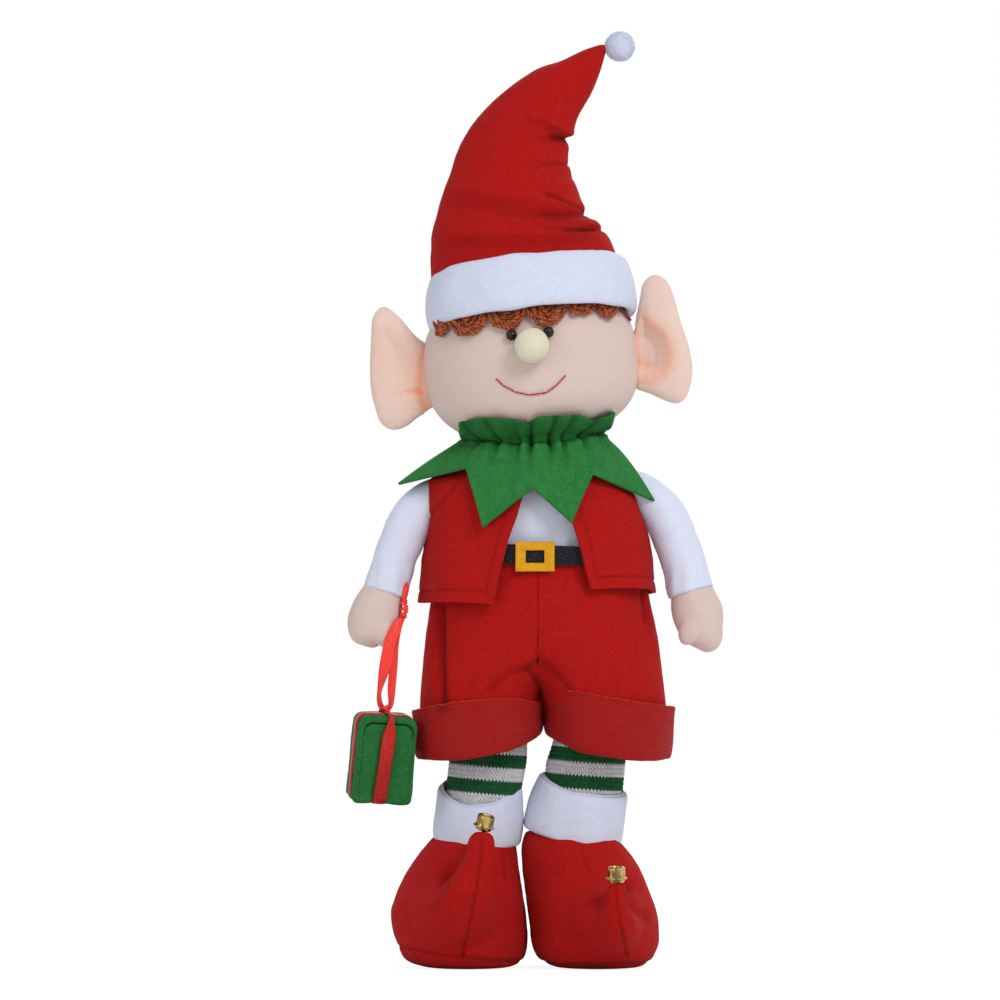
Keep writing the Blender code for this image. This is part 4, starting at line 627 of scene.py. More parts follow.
class Finish:
    """A procedural material, built up node by node on its own Principled shader."""

    def __init__(self, name, colour, roughness=0.9, sheen=0.0, metallic=0.0, subsurface=0.0, specular=0.12):
        self.material = bpy.data.materials.new(name)
        self.material.use_nodes = True
        self.nodes, self.links = self.material.node_tree.nodes, self.material.node_tree.links
        self.shader = self.nodes["Principled BSDF"]
        self.shader.inputs["Base Color"].default_value = (*colour, 1.0)
        self.shader.inputs["Roughness"].default_value = roughness
        self.shader.inputs["Metallic"].default_value = metallic
        self.shader.inputs["Specular IOR Level"].default_value = specular
        self.shader.inputs["Sheen Weight"].default_value = sheen
        self.shader.inputs["Sheen Roughness"].default_value = 0.6
        self.shader.inputs["Sheen Tint"].default_value = (*mixed(colour, (1, 1, 1), 0.1), 1.0)
        self.shader.inputs["Subsurface Weight"].default_value = subsurface
        self.shader.inputs["Subsurface Radius"].default_value = (0.004, 0.002, 0.0012)
        self.colour = colour
        self.place = self.nodes.new("ShaderNodeTexCoord").outputs["Object"]
        self.bump_from = None

    def node(self, kind, **values):
        made = self.nodes.new(kind)
        for key, value in values.items():
            setattr(made, key, value)
        return made

    def stretched(self, scale, turn=(0, 0, 0)):
        mapping = self.node("ShaderNodeMapping")
        mapping.inputs["Scale"].default_value = scale
        mapping.inputs["Rotation"].default_value = turn
        self.links.new(self.place, mapping.inputs["Vector"])
        return mapping.outputs["Vector"]

    def noise(self, scale, detail=2.0, rough=0.6, where=None):
        made = self.node("ShaderNodeTexNoise")
        made.inputs["Scale"].default_value = scale
        made.inputs["Detail"].default_value = detail
        made.inputs["Roughness"].default_value = rough
        self.links.new(where or self.place, made.inputs["Vector"])
        return made.outputs["Fac"]

    def wave(self, scale, direction="X", distortion=0.0, where=None):
        made = self.node("ShaderNodeTexWave", bands_direction=direction)
        made.inputs["Scale"].default_value = scale
        made.inputs["Distortion"].default_value = distortion
        self.links.new(where or self.place, made.inputs["Vector"])
        return made.outputs["Fac"]

    def mark(self, name):
        """The value that the mesh keeps at its points under this name, or 0 where it keeps none."""
        return self.node("ShaderNodeAttribute", attribute_name=name).outputs["Fac"]

    def wrapped(self, name):
        """The place on a cloth that goes round: how far round from a mark, and the height."""
        height = self.node("ShaderNodeSeparateXYZ")
        self.links.new(self.place, height.inputs["Vector"])
        made = self.node("ShaderNodeCombineXYZ")
        self.links.new(self.mark(name), made.inputs["X"])
        self.links.new(height.outputs["Z"], made.inputs["Z"])
        return made.outputs["Vector"]

    def ramp(self, source, low, high):
        made = self.node("ShaderNodeMapRange")
        made.inputs["From Min"].default_value = low
        made.inputs["From Max"].default_value = high
        self.links.new(source, made.inputs["Value"])
        return made.outputs["Result"]

    def maths(self, operation, first, second):
        made = self.node("ShaderNodeMath", operation=operation)
        for socket, value in zip(made.inputs, (first, second)):
            if isinstance(value, (int, float)):
                socket.default_value = value
            else:
                self.links.new(value, socket)
        return made.outputs["Value"]

    def tint(self, amount, colour, share=1.0):
        """Blends the base colour towards another by a texture's strength."""
        made = self.node("ShaderNodeMix", data_type="RGBA")
        base = self.shader.inputs["Base Color"]
        if base.is_linked:
            self.links.new(base.links[0].from_socket, made.inputs["A"])
        else:
            made.inputs["A"].default_value = base.default_value
        made.inputs["B"].default_value = (*colour, 1.0)
        self.links.new(self.maths("MULTIPLY", amount, share), made.inputs["Factor"])
        self.links.new(made.outputs["Result"], base)
        return self

    def bump(self, height, distance, strength=1.0):
        made = self.node("ShaderNodeBump")
        made.inputs["Distance"].default_value = distance
        made.inputs["Strength"].default_value = strength
        self.links.new(height, made.inputs["Height"])
        if self.bump_from:
            self.links.new(self.bump_from, made.inputs["Normal"])
        self.bump_from = made.outputs["Normal"]
        self.links.new(self.bump_from, self.shader.inputs["Normal"])
        return self

    def paint_crease_shade(self):
        """Paints shade on the cloth where its mesh marks a crease or a seam's groove."""
        return self.tint(self.mark("crease"), mixed(self.colour, (0, 0, 0), 0.80), 0.75)


def mixed(colour, other, share):
    return tuple(a + (b - a) * share for a, b in zip(colour, other))


def fleece(name, colour, depth=0.0003, grain=1700, mottle=0.16, sheen=0.08, light=(1.0, 0.5, 0.4)):
    """Brushed pile: fine fibres over soft clumps, darker where they part, with painted shade in the creases.
    """
    made = Finish(name, colour, 0.95, sheen=sheen)
    fibres = made.noise(grain, 3.0, 0.7)
    clumps = made.noise(grain / 4, 3.0, 0.65)
    made.tint(made.ramp(clumps, 0.64, 0.36), mixed(colour, (0, 0, 0), mottle))
    made.tint(made.ramp(fibres, 0.50, 0.30), mixed(colour, (0, 0, 0), mottle * 1.4))
    made.tint(made.ramp(fibres, 0.58, 0.80), mixed(colour, light, 0.10), 0.5)
    made.paint_crease_shade()
    made.bump(clumps, depth * 1.6, 0.7)
    made.bump(fibres, depth, 0.8)
    return made.material


def felt(name, colour):
    """Pressed felt: matted fibres that lie every way."""
    made = Finish(name, colour, 0.95, sheen=0.06)
    long_way = made.noise(1.0, 3.0, 0.65, made.stretched((900, 2600, 1400), (0.3, 0.5, 0.9)))
    cross_way = made.noise(1.0, 3.0, 0.65, made.stretched((2600, 1000, 1200), (0.8, 0.2, 0.3)))
    matted = made.maths("MAXIMUM", long_way, cross_way)
    patches = made.noise(240, 3.0, 0.6)
    made.tint(made.ramp(patches, 0.66, 0.30), mixed(colour, (0, 0, 0), 0.26))
    made.tint(made.ramp(matted, 0.54, 0.76), mixed(colour, (1, 1, 1), 0.10), 0.5)
    made.tint(made.ramp(matted, 0.52, 0.40), mixed(colour, (0, 0, 0), 0.30), 0.7)
    made.paint_crease_shade()
    made.bump(patches, 0.0004, 0.6)
    made.bump(matted, 0.0004, 0.9)
    return made.material


def jersey(name, colour, subsurface=0.0, blotch=(0.5, 0.2, 0.15)):
    """Fine knitted jersey with a short brushed face."""
    made = Finish(name, colour, 0.9, sheen=0.06, subsurface=subsurface)
    wales = made.wave(330, "X", 1.2)
    courses = made.wave(330, "Z", 1.2)
    fuzz = made.noise(1900, 3.0, 0.65)
    blotches = made.noise(60, 3.0, 0.6)
    loops = made.maths("MULTIPLY", wales, courses)
    made.tint(made.ramp(blotches, 0.60, 0.36), mixed(colour, blotch, 0.10), 0.5)
    made.tint(made.ramp(fuzz, 0.52, 0.30), mixed(colour, (0, 0, 0), 0.18), 0.8)
    made.tint(made.ramp(loops, 0.5, 0.0), mixed(colour, (0, 0, 0), 0.05))
    made.paint_crease_shade()
    made.bump(loops, 0.00012, 0.5)
    made.bump(fuzz, 0.00025, 0.7)
    return made


def knit_back(name, colour):
    """The reverse of the suit's cloth: fine purl loops in rows and columns, with painted shade between them
    and a painted highlight on each.
    """
    made = Finish(name, colour, 0.8, sheen=0.08, specular=0.2)
    wander = made.noise(90, 2.0, 0.5)
    around = made.wrapped("round")
    rows, columns = (made.wave(393, direction, 1.4, around) for direction in "ZX")
    loops = made.maths("MULTIPLY", made.maths("POWER", rows, 0.7), made.maths("POWER", columns, 0.7))
    # Painted shade between the loops, then a painted highlight on each loop's top.
    made.tint(made.ramp(loops, 0.45, 0.02), mixed(colour, (0, 0, 0), 0.55))
    made.tint(made.ramp(loops, 0.62, 1.0), mixed(colour, (1, 0.30, 0.22), 0.22), 0.8)
    made.tint(made.ramp(wander, 0.60, 0.36), mixed(colour, (0, 0, 0), 0.22))
    made.paint_crease_shade()
    made.bump(loops, 0.0004, 0.9)
    return made.material


def yarn(name, colour, gloss=0.55, dark=0.45, specular=0.3):
    """Spun yarn: fine hairs along the strand, darker between them."""
    made = Finish(name, colour, gloss, sheen=0.08, specular=specular)
    hairs = made.noise(1.0, 3.0, 0.7, made.stretched((3200, 2600, 1500)))
    shade = made.noise(420, 2.0, 0.6)
    made.tint(made.ramp(shade, 0.62, 0.34), mixed(colour, (0, 0, 0), dark))
    made.tint(made.ramp(hairs, 0.52, 0.72), mixed(colour, (1, 0.85, 0.7), 0.20), 0.55)
    made.bump(hairs, 0.0003, 0.9)
    return made.material


def satin(name, colour, gloss=0.3):
    """Satin ribbon: fine slanting ribs with a silky gloss."""
    made = Finish(name, colour, 0.42, specular=gloss)
    weave = made.noise(1.0, 2.0, 0.5, made.stretched((3000, 3000, 900), (0, 0.6, 0)))
    ribs = made.wave(300, "DIAGONAL", 0.4)
    made.tint(made.ramp(ribs, 0.60, 0.05), mixed(colour, (0, 0, 0), 0.22))
    made.tint(made.ramp(weave, 0.5, 0.75), mixed(colour, (1, 0.8, 0.7), 0.20), 0.35)
    made.paint_crease_shade()
    made.bump(ribs, 0.00010, 0.6)
    return made.material


def ear_finish(colour):
    """Ear jersey with a warm glow in its folds, where the light comes through both layers."""
    made = jersey("ear_jersey", colour, subsurface=0.10)
    made.tint(made.mark("glow"), srgb(250, 160, 122), 0.85)
    return made.material


def bell_finish():
    """Polished brass with fine scratches and streaks of painted dark reflection."""
    brass = Finish("bell_brass", srgb(206, 180, 112), 0.14, metallic=1.0, specular=0.5)
    scratches = brass.noise(1.0, 3.0, 0.6, brass.stretched((900, 900, 5200)))
    brass.tint(brass.ramp(brass.noise(420, 3.0), 0.62, 0.30), srgb(150, 122, 62), 0.6)
    # Streaks of painted dark reflection, stretched up and down the bell.
    shade = brass.noise(1.0, 1.0, 0.4, brass.stretched((330, 330, 60)))
    brass.tint(brass.ramp(shade, 0.54, 0.44), srgb(84, 72, 38), 0.75)
    brass.bump(scratches, 0.00004, 0.4)
    return brass.material


def bead_finish():
    bead = Finish("eye_bead", srgb(14, 13, 13), 0.10, specular=0.25)
    bead.shader.inputs["Coat Weight"].default_value = 0.15
    bead.tint(bead.noise(700, 2.0), srgb(30, 26, 24), 0.3)
    return bead.material


def paper():
    """White paper. The camera sees it close to pure white, with the object's shadow still on it."""
    made = Finish("floor_paper", (0.92, 0.92, 0.92), 1.0, specular=0.0)
    grain = made.noise(700, 2.0, 0.5)
    made.tint(made.ramp(grain, 0.6, 0.3), (0.89, 0.89, 0.89))
    shade, light = made.node("ShaderNodeBsdfDiffuse"), made.node("ShaderNodeEmission")
    shade.inputs["Color"].default_value = (FLOOR_SHADE, FLOOR_SHADE, FLOOR_SHADE, 1)
    light.inputs["Strength"].default_value = FLOOR_LIGHT
    both, mix, path = (made.node("ShaderNode" + kind) for kind in ("AddShader", "MixShader", "LightPath"))
    made.links.new(shade.outputs["BSDF"], both.inputs[0])
    made.links.new(light.outputs["Emission"], both.inputs[1])
    made.links.new(path.outputs["Is Camera Ray"], mix.inputs["Fac"])
    made.links.new(made.shader.outputs["BSDF"], mix.inputs[1])
    made.links.new(both.outputs["Shader"], mix.inputs[2])
    made.links.new(mix.outputs["Shader"], made.nodes["Material Output"].inputs["Surface"])
    return made.material


def finishes():
    red, white, green = srgb(178, 20, 18), srgb(215, 220, 238), srgb(42, 125, 56)
    pale = (1, 1, 1)
    return {
        "skin": jersey("skin_jersey", srgb(219, 197, 188), subsurface=0.06).material,
        "brass": bell_finish(),
        "bead": bead_finish(),
        "ear": ear_finish(srgb(236, 206, 192)),
        "cream": fleece("cream_pile", srgb(228, 220, 195), 0.0002, 1900, 0.06, light=pale),
        "thread": yarn("mouth_thread", srgb(205, 40, 44), 0.6, 0.25, 0.15),
        "yarn": yarn("hair_yarn", srgb(182, 84, 36), 0.50, 0.50, 0.25),
        "elastic": yarn("hair_elastic_cord", srgb(120, 20, 32), 0.3, 0.4, 0.4),
        "red": fleece("red_fleece_pile", red),
        "raw": fleece("raw_red_edge", srgb(205, 52, 46), mottle=0.25),
        "knit_back": knit_back("red_knit_back", srgb(190, 20, 18)),
        "white": fleece("white_fleece_pile", white, 0.0003, 1500, 0.05, 0.12, light=pale),
        "shirt": jersey("shirt_jersey", srgb(220, 224, 242), blotch=(0.5, 0.5, 0.7)).material,
        "green": felt("green_felt_cloth", green),
        "gift": felt("gift_felt_cloth", srgb(36, 112, 52)),
        "black": felt("black_felt_strip", srgb(30, 34, 36)),
        "yellow": felt("yellow_felt_frame", srgb(232, 164, 24)),
        # Dull grey green: painted shade for the gaps between the stocking stitches
        "knit_gap": yarn("knit_gap_shade", srgb(88, 104, 92), 0.9, 0.4, 0.05),
        "knit_green": yarn("green_knit_yarn", srgb(20, 96, 50), 0.8, 0.30, 0.12),
        "knit_white": yarn("white_knit_yarn", srgb(226, 226, 230), 0.8, 0.16, 0.12),
        "satin": satin("bright_satin", srgb(250, 56, 42)),
        "gift_satin": satin("gift_satin", srgb(196, 34, 28), 0.12),
    }


def in_head(x, z):
    """How far a place lies across and up from the middle of the leaning head."""
    c, s = math.cos(HEAD_LEAN), math.sin(HEAD_LEAN)
    dx, dz = x - HEAD_CENTRE[0], z - HEAD_CENTRE[2]
    return dx * c + dz * s, dz * c - dx * s


def head_point(x, z, off=0.0):
    """The point of the face at this place across and above the base, stood off the head by a distance."""
    across, up = in_head(x, z)
    half = HEAD_HALF + off
    level = max(1 - abs(up / half[2]) ** HEAD_FULLNESS, 0.0) ** (2 / HEAD_FULLNESS)
    return np.array((x, HEAD_CENTRE[1] - half[1] * math.sqrt(max(level - (across / half[0]) ** 2, 0.0)), z))


def clear_of_head(points, gap):
    """Moves points that are closer to the head than a gap straight outwards from its middle."""
    across, up = in_head(points[..., 0], points[..., 2])
    half = HEAD_HALF + gap
    level = np.clip(1 - np.abs(up / half[2]) ** HEAD_FULLNESS, 0, 1) ** (1 / HEAD_FULLNESS)
    away = np.sqrt((across / half[0]) ** 2 + (points[..., 1] / half[1]) ** 2)
    grow = np.maximum(level / np.maximum(away, 1e-6), 1)[..., None]
    middle = np.array((HEAD_CENTRE[0], 0.0))
    moved = points.copy()
    moved[..., :2] = middle + (points[..., :2] - middle) * grow
    return moved


def turned(points, angle, axis):
    matrix = np.asarray(Matrix.Rotation(angle, 3, axis))
    return points @ matrix.T


def ball_grid(centre, half, rows=32, columns=48, power=2.0):
    """A grid over a ball stretched to its half sizes. A power above 2 fills it towards a cushion."""
    rise = np.linspace(-math.pi / 2 + 0.01, math.pi / 2 - 0.01, rows)[:, None]
    flat = np.cos(rise) ** (2 / power)
    up = np.sign(np.sin(rise)) * np.abs(np.sin(rise)) ** (2 / power)
    around = turns(columns)[None]
    heights = np.broadcast_to(up, (rows, columns))
    grid = np.stack([flat * np.sin(around), -flat * np.cos(around), heights], axis=-1)
    return grid * np.asarray(half) + np.asarray(centre)


def make_head(cloth):
    grid = ball_grid((0, 0, 0), HEAD_HALF, 104, 150, HEAD_FULLNESS)
    mesh = mesh_of("head", turned(grid, -HEAD_LEAN, "Y") + HEAD_CENTRE)
    points = points_of(mesh)
    face = head_point(*NOSE_PLACE)
    hollow = hump(np.linalg.norm(points - face, axis=1), 0.0150)
    mouth = near_line(points, MOUTH_PATH, 0.0010) * (points[:, 1] < 0)
    around = np.arctan2(points[:, 0], points[:, 1])
    puckers = np.clip((0.268 - points[:, 2]) / 0.012, 0, 1) * np.sin(around * 26)
    pushed(mesh, (lumps(points, 0.030) * 0.5 - hollow * 1.2 - mouth * 0.35 + puckers * 0.3) * MM)
    head = piece("head_cloth", mesh, cloth["skin"], "head")


def ear_grid(side):
    """An ear as rings that grow from its middle to its rim in front, and close again behind."""
    rim = spline(EAR_OUTLINES[side], 130, closed=True)
    middle = np.array(EAR_CENTRES[side])
    behind = np.linspace(0.97, 0.02, EAR_BACK_RINGS)
    shares = np.concatenate([np.linspace(0.02, 1, EAR_FRONT_RINGS), behind])
    grid = np.empty((len(shares), len(rim), 3))
    for i, share in enumerate(shares):
        flat = middle + (rim - middle) * share
        swell = math.sqrt(max(1 - share ** 4, 0.0)) * EAR_THICK / 2
        dish = smooth_step(depth_inside(flat, EAR_BOWLS[side]) / EAR_WALL[side]) * EAR_DISH[side] * 1.6
        y = dish - swell if i < EAR_FRONT_RINGS else np.full(len(rim), swell)
        grid[i] = np.column_stack([flat[:, 0], y, flat[:, 1]])
    return grid


def make_ears(cloth):
    for side, crease in EAR_CREASES.items():
        mesh = mesh_of("ear_" + side, ear_grid(side))
        points = points_of(mesh)
        flat = points[:, [0, 2]]
        ahead = np.clip((0.0035 - points[:, 1]) / 0.002, 0, 1)
        seam = hump(points[:, 1], 0.0006)
        fading = hump(np.linalg.norm(flat - np.array(crease[0]), axis=1), 0.0075)
        fold = near_line(points, crease, 0.0017) * ahead * fading
        root, gather, warmth = (near_line(points, EAR_ROOTS[side], width)
                                for width in (EAR_ROOT_WIDTH[side], 0.0060, 0.0075))
        gather = gather * np.sin(points[:, 2] / 0.0044 * 2 * math.pi)
        outer = np.clip(abs(points[:, 0]) / 0.004 - 12.6, 0, 1)
        rim = hump(depth_inside(flat, EAR_BOWLS[side]) - 0.0022, 0.0032) * ahead * outer
        depth = lumps(points, 0.014, 2) * 0.45 - seam * 0.3 - fold * 1.5 - root * 0.6 + gather * 0.2
        pushed(mesh, depth * MM)
        glow = (root + fold) * 0.55 + rim * EAR_RIM_GLOW[side] + warmth * EAR_ROOT_GLOW[side]
        marked(mesh, "glow", glow)
        # Painted shade along the seam and just inside the bowl's edge.
        marked(mesh, "crease", seam * 0.10 + rim * EAR_RIM_SHADE[side])
        ear = piece("ear_cloth_" + side, mesh, cloth["ear"], "ear_" + side)


def make_face(cloth):
    centre = head_point(*NOSE_PLACE, NOSE_RADIUS - 0.0022)
    core = mesh_of("nose_core", ball_grid(centre, (NOSE_RADIUS * 0.985,) * 3, 40, 60))
    pushed(core, lumps(points_of(core), 0.004, 4) * 0.2 * MM)
    fibres = pile("nose_pile", core, 7000, 0.0005, 0.00006, 0.9)
    nose = piece("nose_pompom", core, cloth["cream"], "nose")
    piece("nose_fibres", fibres, cloth["cream"])
    for side, place in EYE_PLACES.items():
        bead = mesh_of("eye", ball_grid(head_point(*place, EYE_RADIUS - 0.0011), (EYE_RADIUS,) * 3, 28, 40))
        piece("eye_bead_" + side, bead, cloth["bead"], "eye_" + side)
    piece("mouth_stitches", bundle("mouth", mouth_stitches()), cloth["thread"], "mouth")


def mouth_stitches(steps=14):
    """Long stitches of two twisted plies, each sunk into the face at its ends."""
    stitches = []
    corners = np.array(MOUTH_PATH)
    sink = np.sin(np.linspace(0, math.pi, steps)) ** 0.5
    for start, end in zip(corners[:-1], corners[1:]):
        line = [head_point(*(start + (end - start) * share), 0.00035 * rise - 0.0002)
                for share, rise in zip(np.linspace(0.03, 0.97, steps), sink)]
        for phase in (0, math.pi):
            twist = np.linspace(0, 9, steps) + phase
            wind = np.column_stack([np.cos(twist), np.zeros(steps), np.sin(twist)])
            stitches.append(tube(np.array(line) + wind * 0.00016, 0.00026, 6))
    return stitches


def yarn_strand(line, radius=PLY_RADIUS, wind=PLY_WIND, turn=PLY_TURN, plies=2, seed=0.0):
    """A twisted strand: each ply winds round the line at even steps of its length."""
    steps = np.linalg.norm(np.diff(line, axis=0), axis=1)
    length = np.concatenate([[0], np.cumsum(steps)])
    along = unit(np.gradient(line, axis=0))
    side = unit(np.cross(along, (0.2, 1.0, 0.1)))
    other = np.cross(along, side)
    grids = []
    for ply in range(plies):
        angle = length / turn * 2 * math.pi + ply * 2 * math.pi / plies + seed
        path = line + (side * np.cos(angle)[:, None] + other * np.sin(angle)[:, None]) * wind
        grids.append(tube(path, radius, 5))
    return grids


def arc_line(centre, root, half, drop, stand):
    """One strand of a scallop: down from the band, round its low edge and up again, with a slight curl."""
    t = np.linspace(0, math.pi, 70)
    curl = RNG.uniform(0, 6)
    x = centre - half * np.cos(t) + 0.0004 * np.sin(t * 7 + curl)
    z = root + 0.0012 - (drop + 0.0012) * np.sin(t) ** 0.8 + 0.0004 * np.cos(t * 6 + curl)
    off = stand + 0.0005 * np.sin(t * 8 + curl * 2)
    return np.array([head_point(a, b, c) for a, b, c in zip(x, z, off)])


def make_hair(cloth):
    """Scallops of thick curly yarn that hang from under the band, each of nested strands."""
    grids = []
    for i, low in enumerate(FRINGE_LOWS):
        left, right = FRINGE_EDGES[i], FRINGE_EDGES[i + 1]
        root, centre = (FRINGE_ROOTS[i] + FRINGE_ROOTS[i + 1]) / 2, (left + right) / 2
        half, drop = (right - left) / 2 - 0.0006, root - low - 0.0011
        layer = 0
        while half > 0.0004 and drop > -0.0012:
            stand = 0.0016 + (0.0008, 0.0016, 0.0004)[layer % 3]
            line = arc_line(centre + RNG.uniform(-0.0003, 0.0003), root, half, drop, stand)
            grids += yarn_strand(line, seed=RNG.uniform(0, 6))
            half -= STRAND_PITCH * RNG.uniform(0.9, 1.15)
            drop -= STRAND_PITCH * RNG.uniform(0.9, 1.1)
            layer += 1
    across = np.linspace(FRINGE_EDGES[0], FRINGE_EDGES[-1], 300)
    top = np.interp(across, FRINGE_EDGES, FRINGE_ROOTS) - 0.0004 + 0.0005 * np.sin(across / 0.0021)
    line = np.array([head_point(a, b, 0.0012) for a, b in zip(across, top)])
    grids += yarn_strand(line)
    piece("hair_yarn_fringe", bundle("hair", grids), cloth["yarn"], "hair_fringe")
    line = np.array([head_point(x, z, 0.0012) for x, z in spline(ELASTIC_PATH, 30)])
    cord = bundle("elastic", yarn_strand(line, 0.00045, 0.0005, 0.0022, 3))
    piece("hair_elastic_twist", cord, cloth["elastic"], "hair_elastic")


def fold_depth(points):
    """How far the hat's cloth stands out, and how much painted shade lies in its creases, at each point seen
    from the front.
    """
    x, z = points[:, 0], points[:, 2]
    depth, crease = np.zeros(len(points)), np.zeros(len(points))
    front = np.clip((0.016 - points[:, 1]) / 0.012, 0, 1)
    for ridge, drop, amount, above, below in HAT_FOLDS:
        line = np.array(ridge)
        starting = np.clip((x - line[0, 0]) / 0.018, 0, 1)
        window = starting * np.clip((line[-1, 0] - x) / 0.010 + 0.6, 0, 1)
        away = z - np.interp(x, line[:, 0], line[:, 1])
        hill = np.where(away > 0, hump(away, above * MM), hump(away, below * MM * 0.7))
        dip = hump(away + drop, below * MM)
        depth += front * window * amount * (hill - 0.9 * dip)
        crease += front * window * dip * 0.25
    for line, amount, width in HAT_CREASES:
        groove = near_line(points, line, width * MM) * front
        depth -= groove * amount
        crease += groove * 0.6
    side = np.clip((x - np.interp(z, (0.32, 0.40, 0.44), (-0.004, -0.004, 0.02))) / 0.012, 0, 1)
    for height, amount, width in HAT_NOTCHES:
        notch = np.exp(-(np.abs(z - height) / (width * MM)) ** 1.4) * side
        depth -= notch * amount
        crease += notch * 0.4
    return depth, crease


def make_hat(cloth):
    mesh = mesh_of("hat", sweep(HAT_STATIONS, 190, 150))
    points = points_of(mesh)
    depth, crease = fold_depth(points)
    middle = np.interp(points[:, 2], (0.32, 0.39, 0.44), (-0.002, -0.006, 0.034))
    seam = np.exp(-((points[:, 0] - middle) / 0.0010) ** 2) * (points[:, 1] > 0.012)
    soft = lumps(points, 0.024, 3) * 0.7 + lumps(points, 0.007, 5) * 0.15
    pushed(mesh, (soft + depth - seam * 0.9) * MM)
    # Painted shade in the folds' hollows, the creases, the notches and down the back seam.
    marked(mesh, "crease", crease + seam * 0.6)
    fibres = pile("hat_pile", mesh, 12000, 0.0005, 0.00008, 0.9)
    hat = piece("hat_fleece", mesh, cloth["red"], "hat")
    piece("hat_fibres", fibres, cloth["red"])


def ring_grid(profile, columns, rows, depth, width, power):
    """A closed profile of (radius, height) points carried round an oval."""
    outline = spline(profile, rows, closed=True)
    u, v = oval(turns(columns), power)
    grid = np.empty((columns, rows, 3))
    grid[..., 0] = u[:, None] * outline[None, :, 0] * width
    grid[..., 1] = v[:, None] * outline[None, :, 0] * depth
    grid[..., 2] = outline[None, :, 1]
    return grid


def white_band(name, node, profile, columns, place, cloth, count, seed, sag=0.0):
    """A thick fleece band, softly lumpy, with a seam and a short pile. Its top may sag in front."""
    centre, pitch, lean, depth, width, power = place
    grid = ring_grid(profile, columns, 44, depth, width, power)
    low, high = grid[..., 2].min(), grid[..., 2].max()
    hollow = hump(np.arctan2(grid[..., 0], -grid[..., 1]) - SAG_PLACE, SAG_WIDTH)
    grid[..., 2] -= sag * hollow * (grid[..., 2] - low) / (high - low)
    grid = turned(turned(grid, pitch, "X"), lean, "Y") + centre
    mesh = mesh_of(name, grid, loop=True)
    points = points_of(mesh)
    around = np.arctan2(points[:, 0] - centre[0], -(points[:, 1] - centre[1]))
    waves = np.sin(around * 5 + seed) * 0.35 + np.sin(around * 9 + seed * 2) * 0.2
    seam = hump(np.abs(around) - math.radians(150), 0.03)
    soft = lumps(points, 0.014, seed) * 0.8 + lumps(points, 0.005, seed + 1) * 0.15
    pushed(mesh, (soft + waves * 0.5 - seam * 0.8) * MM)
    fibres = pile(name + "_pile", mesh, count, 0.0010, 0.00006, 1.0)
    band = piece(name + "_fleece", mesh, cloth["white"], node)
    piece(name + "_fibres", fibres, cloth["white"])


def make_trim(cloth):
    place = (TRIM_CENTRE, -TRIM_PITCH, -HEAD_LEAN, TRIM_DEPTH, 1.0, 2.25)
    white_band("hat_band", "hat_trim", TRIM_PROFILE, 240, place, cloth, 22000, 2.0)
    core = mesh_of("pompom_core", ball_grid(POMPOM_CENTRE, (POMPOM_RADIUS * 0.95,) * 3, 60, 90))
    pushed(core, lumps(points_of(core), 0.005, 9) * 0.3 * MM + lumps(points_of(core), 0.0018, 10) * 0.18 * MM)
    fibres = pile("pompom_pile", core, 8000, 0.0016, 0.00008, 0.8)
    pompom = piece("hat_pompom_core", core, cloth["white"], "hat_pompom")
    piece("hat_pompom_fibres", fibres, cloth["white"])


def make_torso(cloth):
    mesh = mesh_of("shirt", levels(TORSO_STATIONS, 70, 90, 2.3))
    points = points_of(mesh)
    pushed(mesh, lumps(points * (1, 1, 0.5), 0.010, 6) * 0.7 * MM)
    piece("shirt_body", mesh, cloth["shirt"], "torso")


def make_arms(cloth):
    for side, stations in ARM_STATIONS.items():
        mesh = mesh_of("sleeve_" + side, sweep(stations, 96, 60))
        points = points_of(mesh)
        wrist = np.array(stations[-1][:3])
        around = np.arctan2(points[:, 0] - wrist[0], points[:, 1])
        pucker = hump(np.linalg.norm(points - wrist, axis=1) - 0.012, 0.006) * np.sin(around * 14)
        bends = lumps(points * (0.6, 0.6, 1.6), 0.012, 8 if side == "right" else 11)
        pushed(mesh, (bends * 0.7 + pucker * 0.25) * MM)
        sleeve = piece("sleeve_cloth_" + side, mesh, cloth["shirt"], "arm_" + side)
        make_hand(cloth, side, wrist[1])


def make_hand(cloth, side, wrist_depth):
    """A mitten with a thumb, sewn round its edge."""
    centre, half, lean = THUMBS[side]
    palm = mesh_of("palm", sweep(HAND_STATIONS[side], 60, 48))
    thumb = mesh_of("thumb", turned(ball_grid((0, 0, 0), half, 24, 32), lean, "Y") + centre)
    hand = fused("hand_" + side, (palm, thumb), 0.0007, 5)
    points = points_of(hand)
    edge = hump(points[:, 1] - wrist_depth - 0.0005, 0.0007)
    pushed(hand, (lumps(points, 0.008, 12) - edge) * 0.35 * MM)
    piece("hand_cloth_" + side, hand, cloth["skin"], "hand_" + side)


def hip_ring(x, y, z, half_width, half_depth):
    """Points round the hips. A pleat is pressed in at each side, and it fades out at the waist."""
    angles = turns(HIP_SIDES)
    u, v = oval(angles, HIP_SQUARE)
    turned_to = (angles + math.pi) % (2 * math.pi) - math.pi
    pressed = sum(np.exp(-((turned_to - at) / PLEAT_WIDTH) ** 2) for at in HIP_PLEATS)
    size = 1 - PLEAT_DEPTH * pressed * min(max((HIP_RINGS[0][2] - z) / PLEAT_FADE, 0.0), 1.0)
    return np.column_stack([x + u * half_width * size, y + v * half_depth * size, np.full(HIP_SIDES, z)])


def leg_angles():
    """Where each point of a leg's first ring lies on the leg's outline, from the crotch's front end."""
    start, half = LEG_OPENING / 2 - math.pi / 2, HIP_SIDES // 2
    outer, inner = 2 * math.pi - LEG_OPENING, LEG_OPENING
    angles = [start + outer * i / half for i in range(half + 1)]
    return angles + [angles[-1] + inner * k / CROTCH_STEPS for k in range(1, CROTCH_STEPS)]


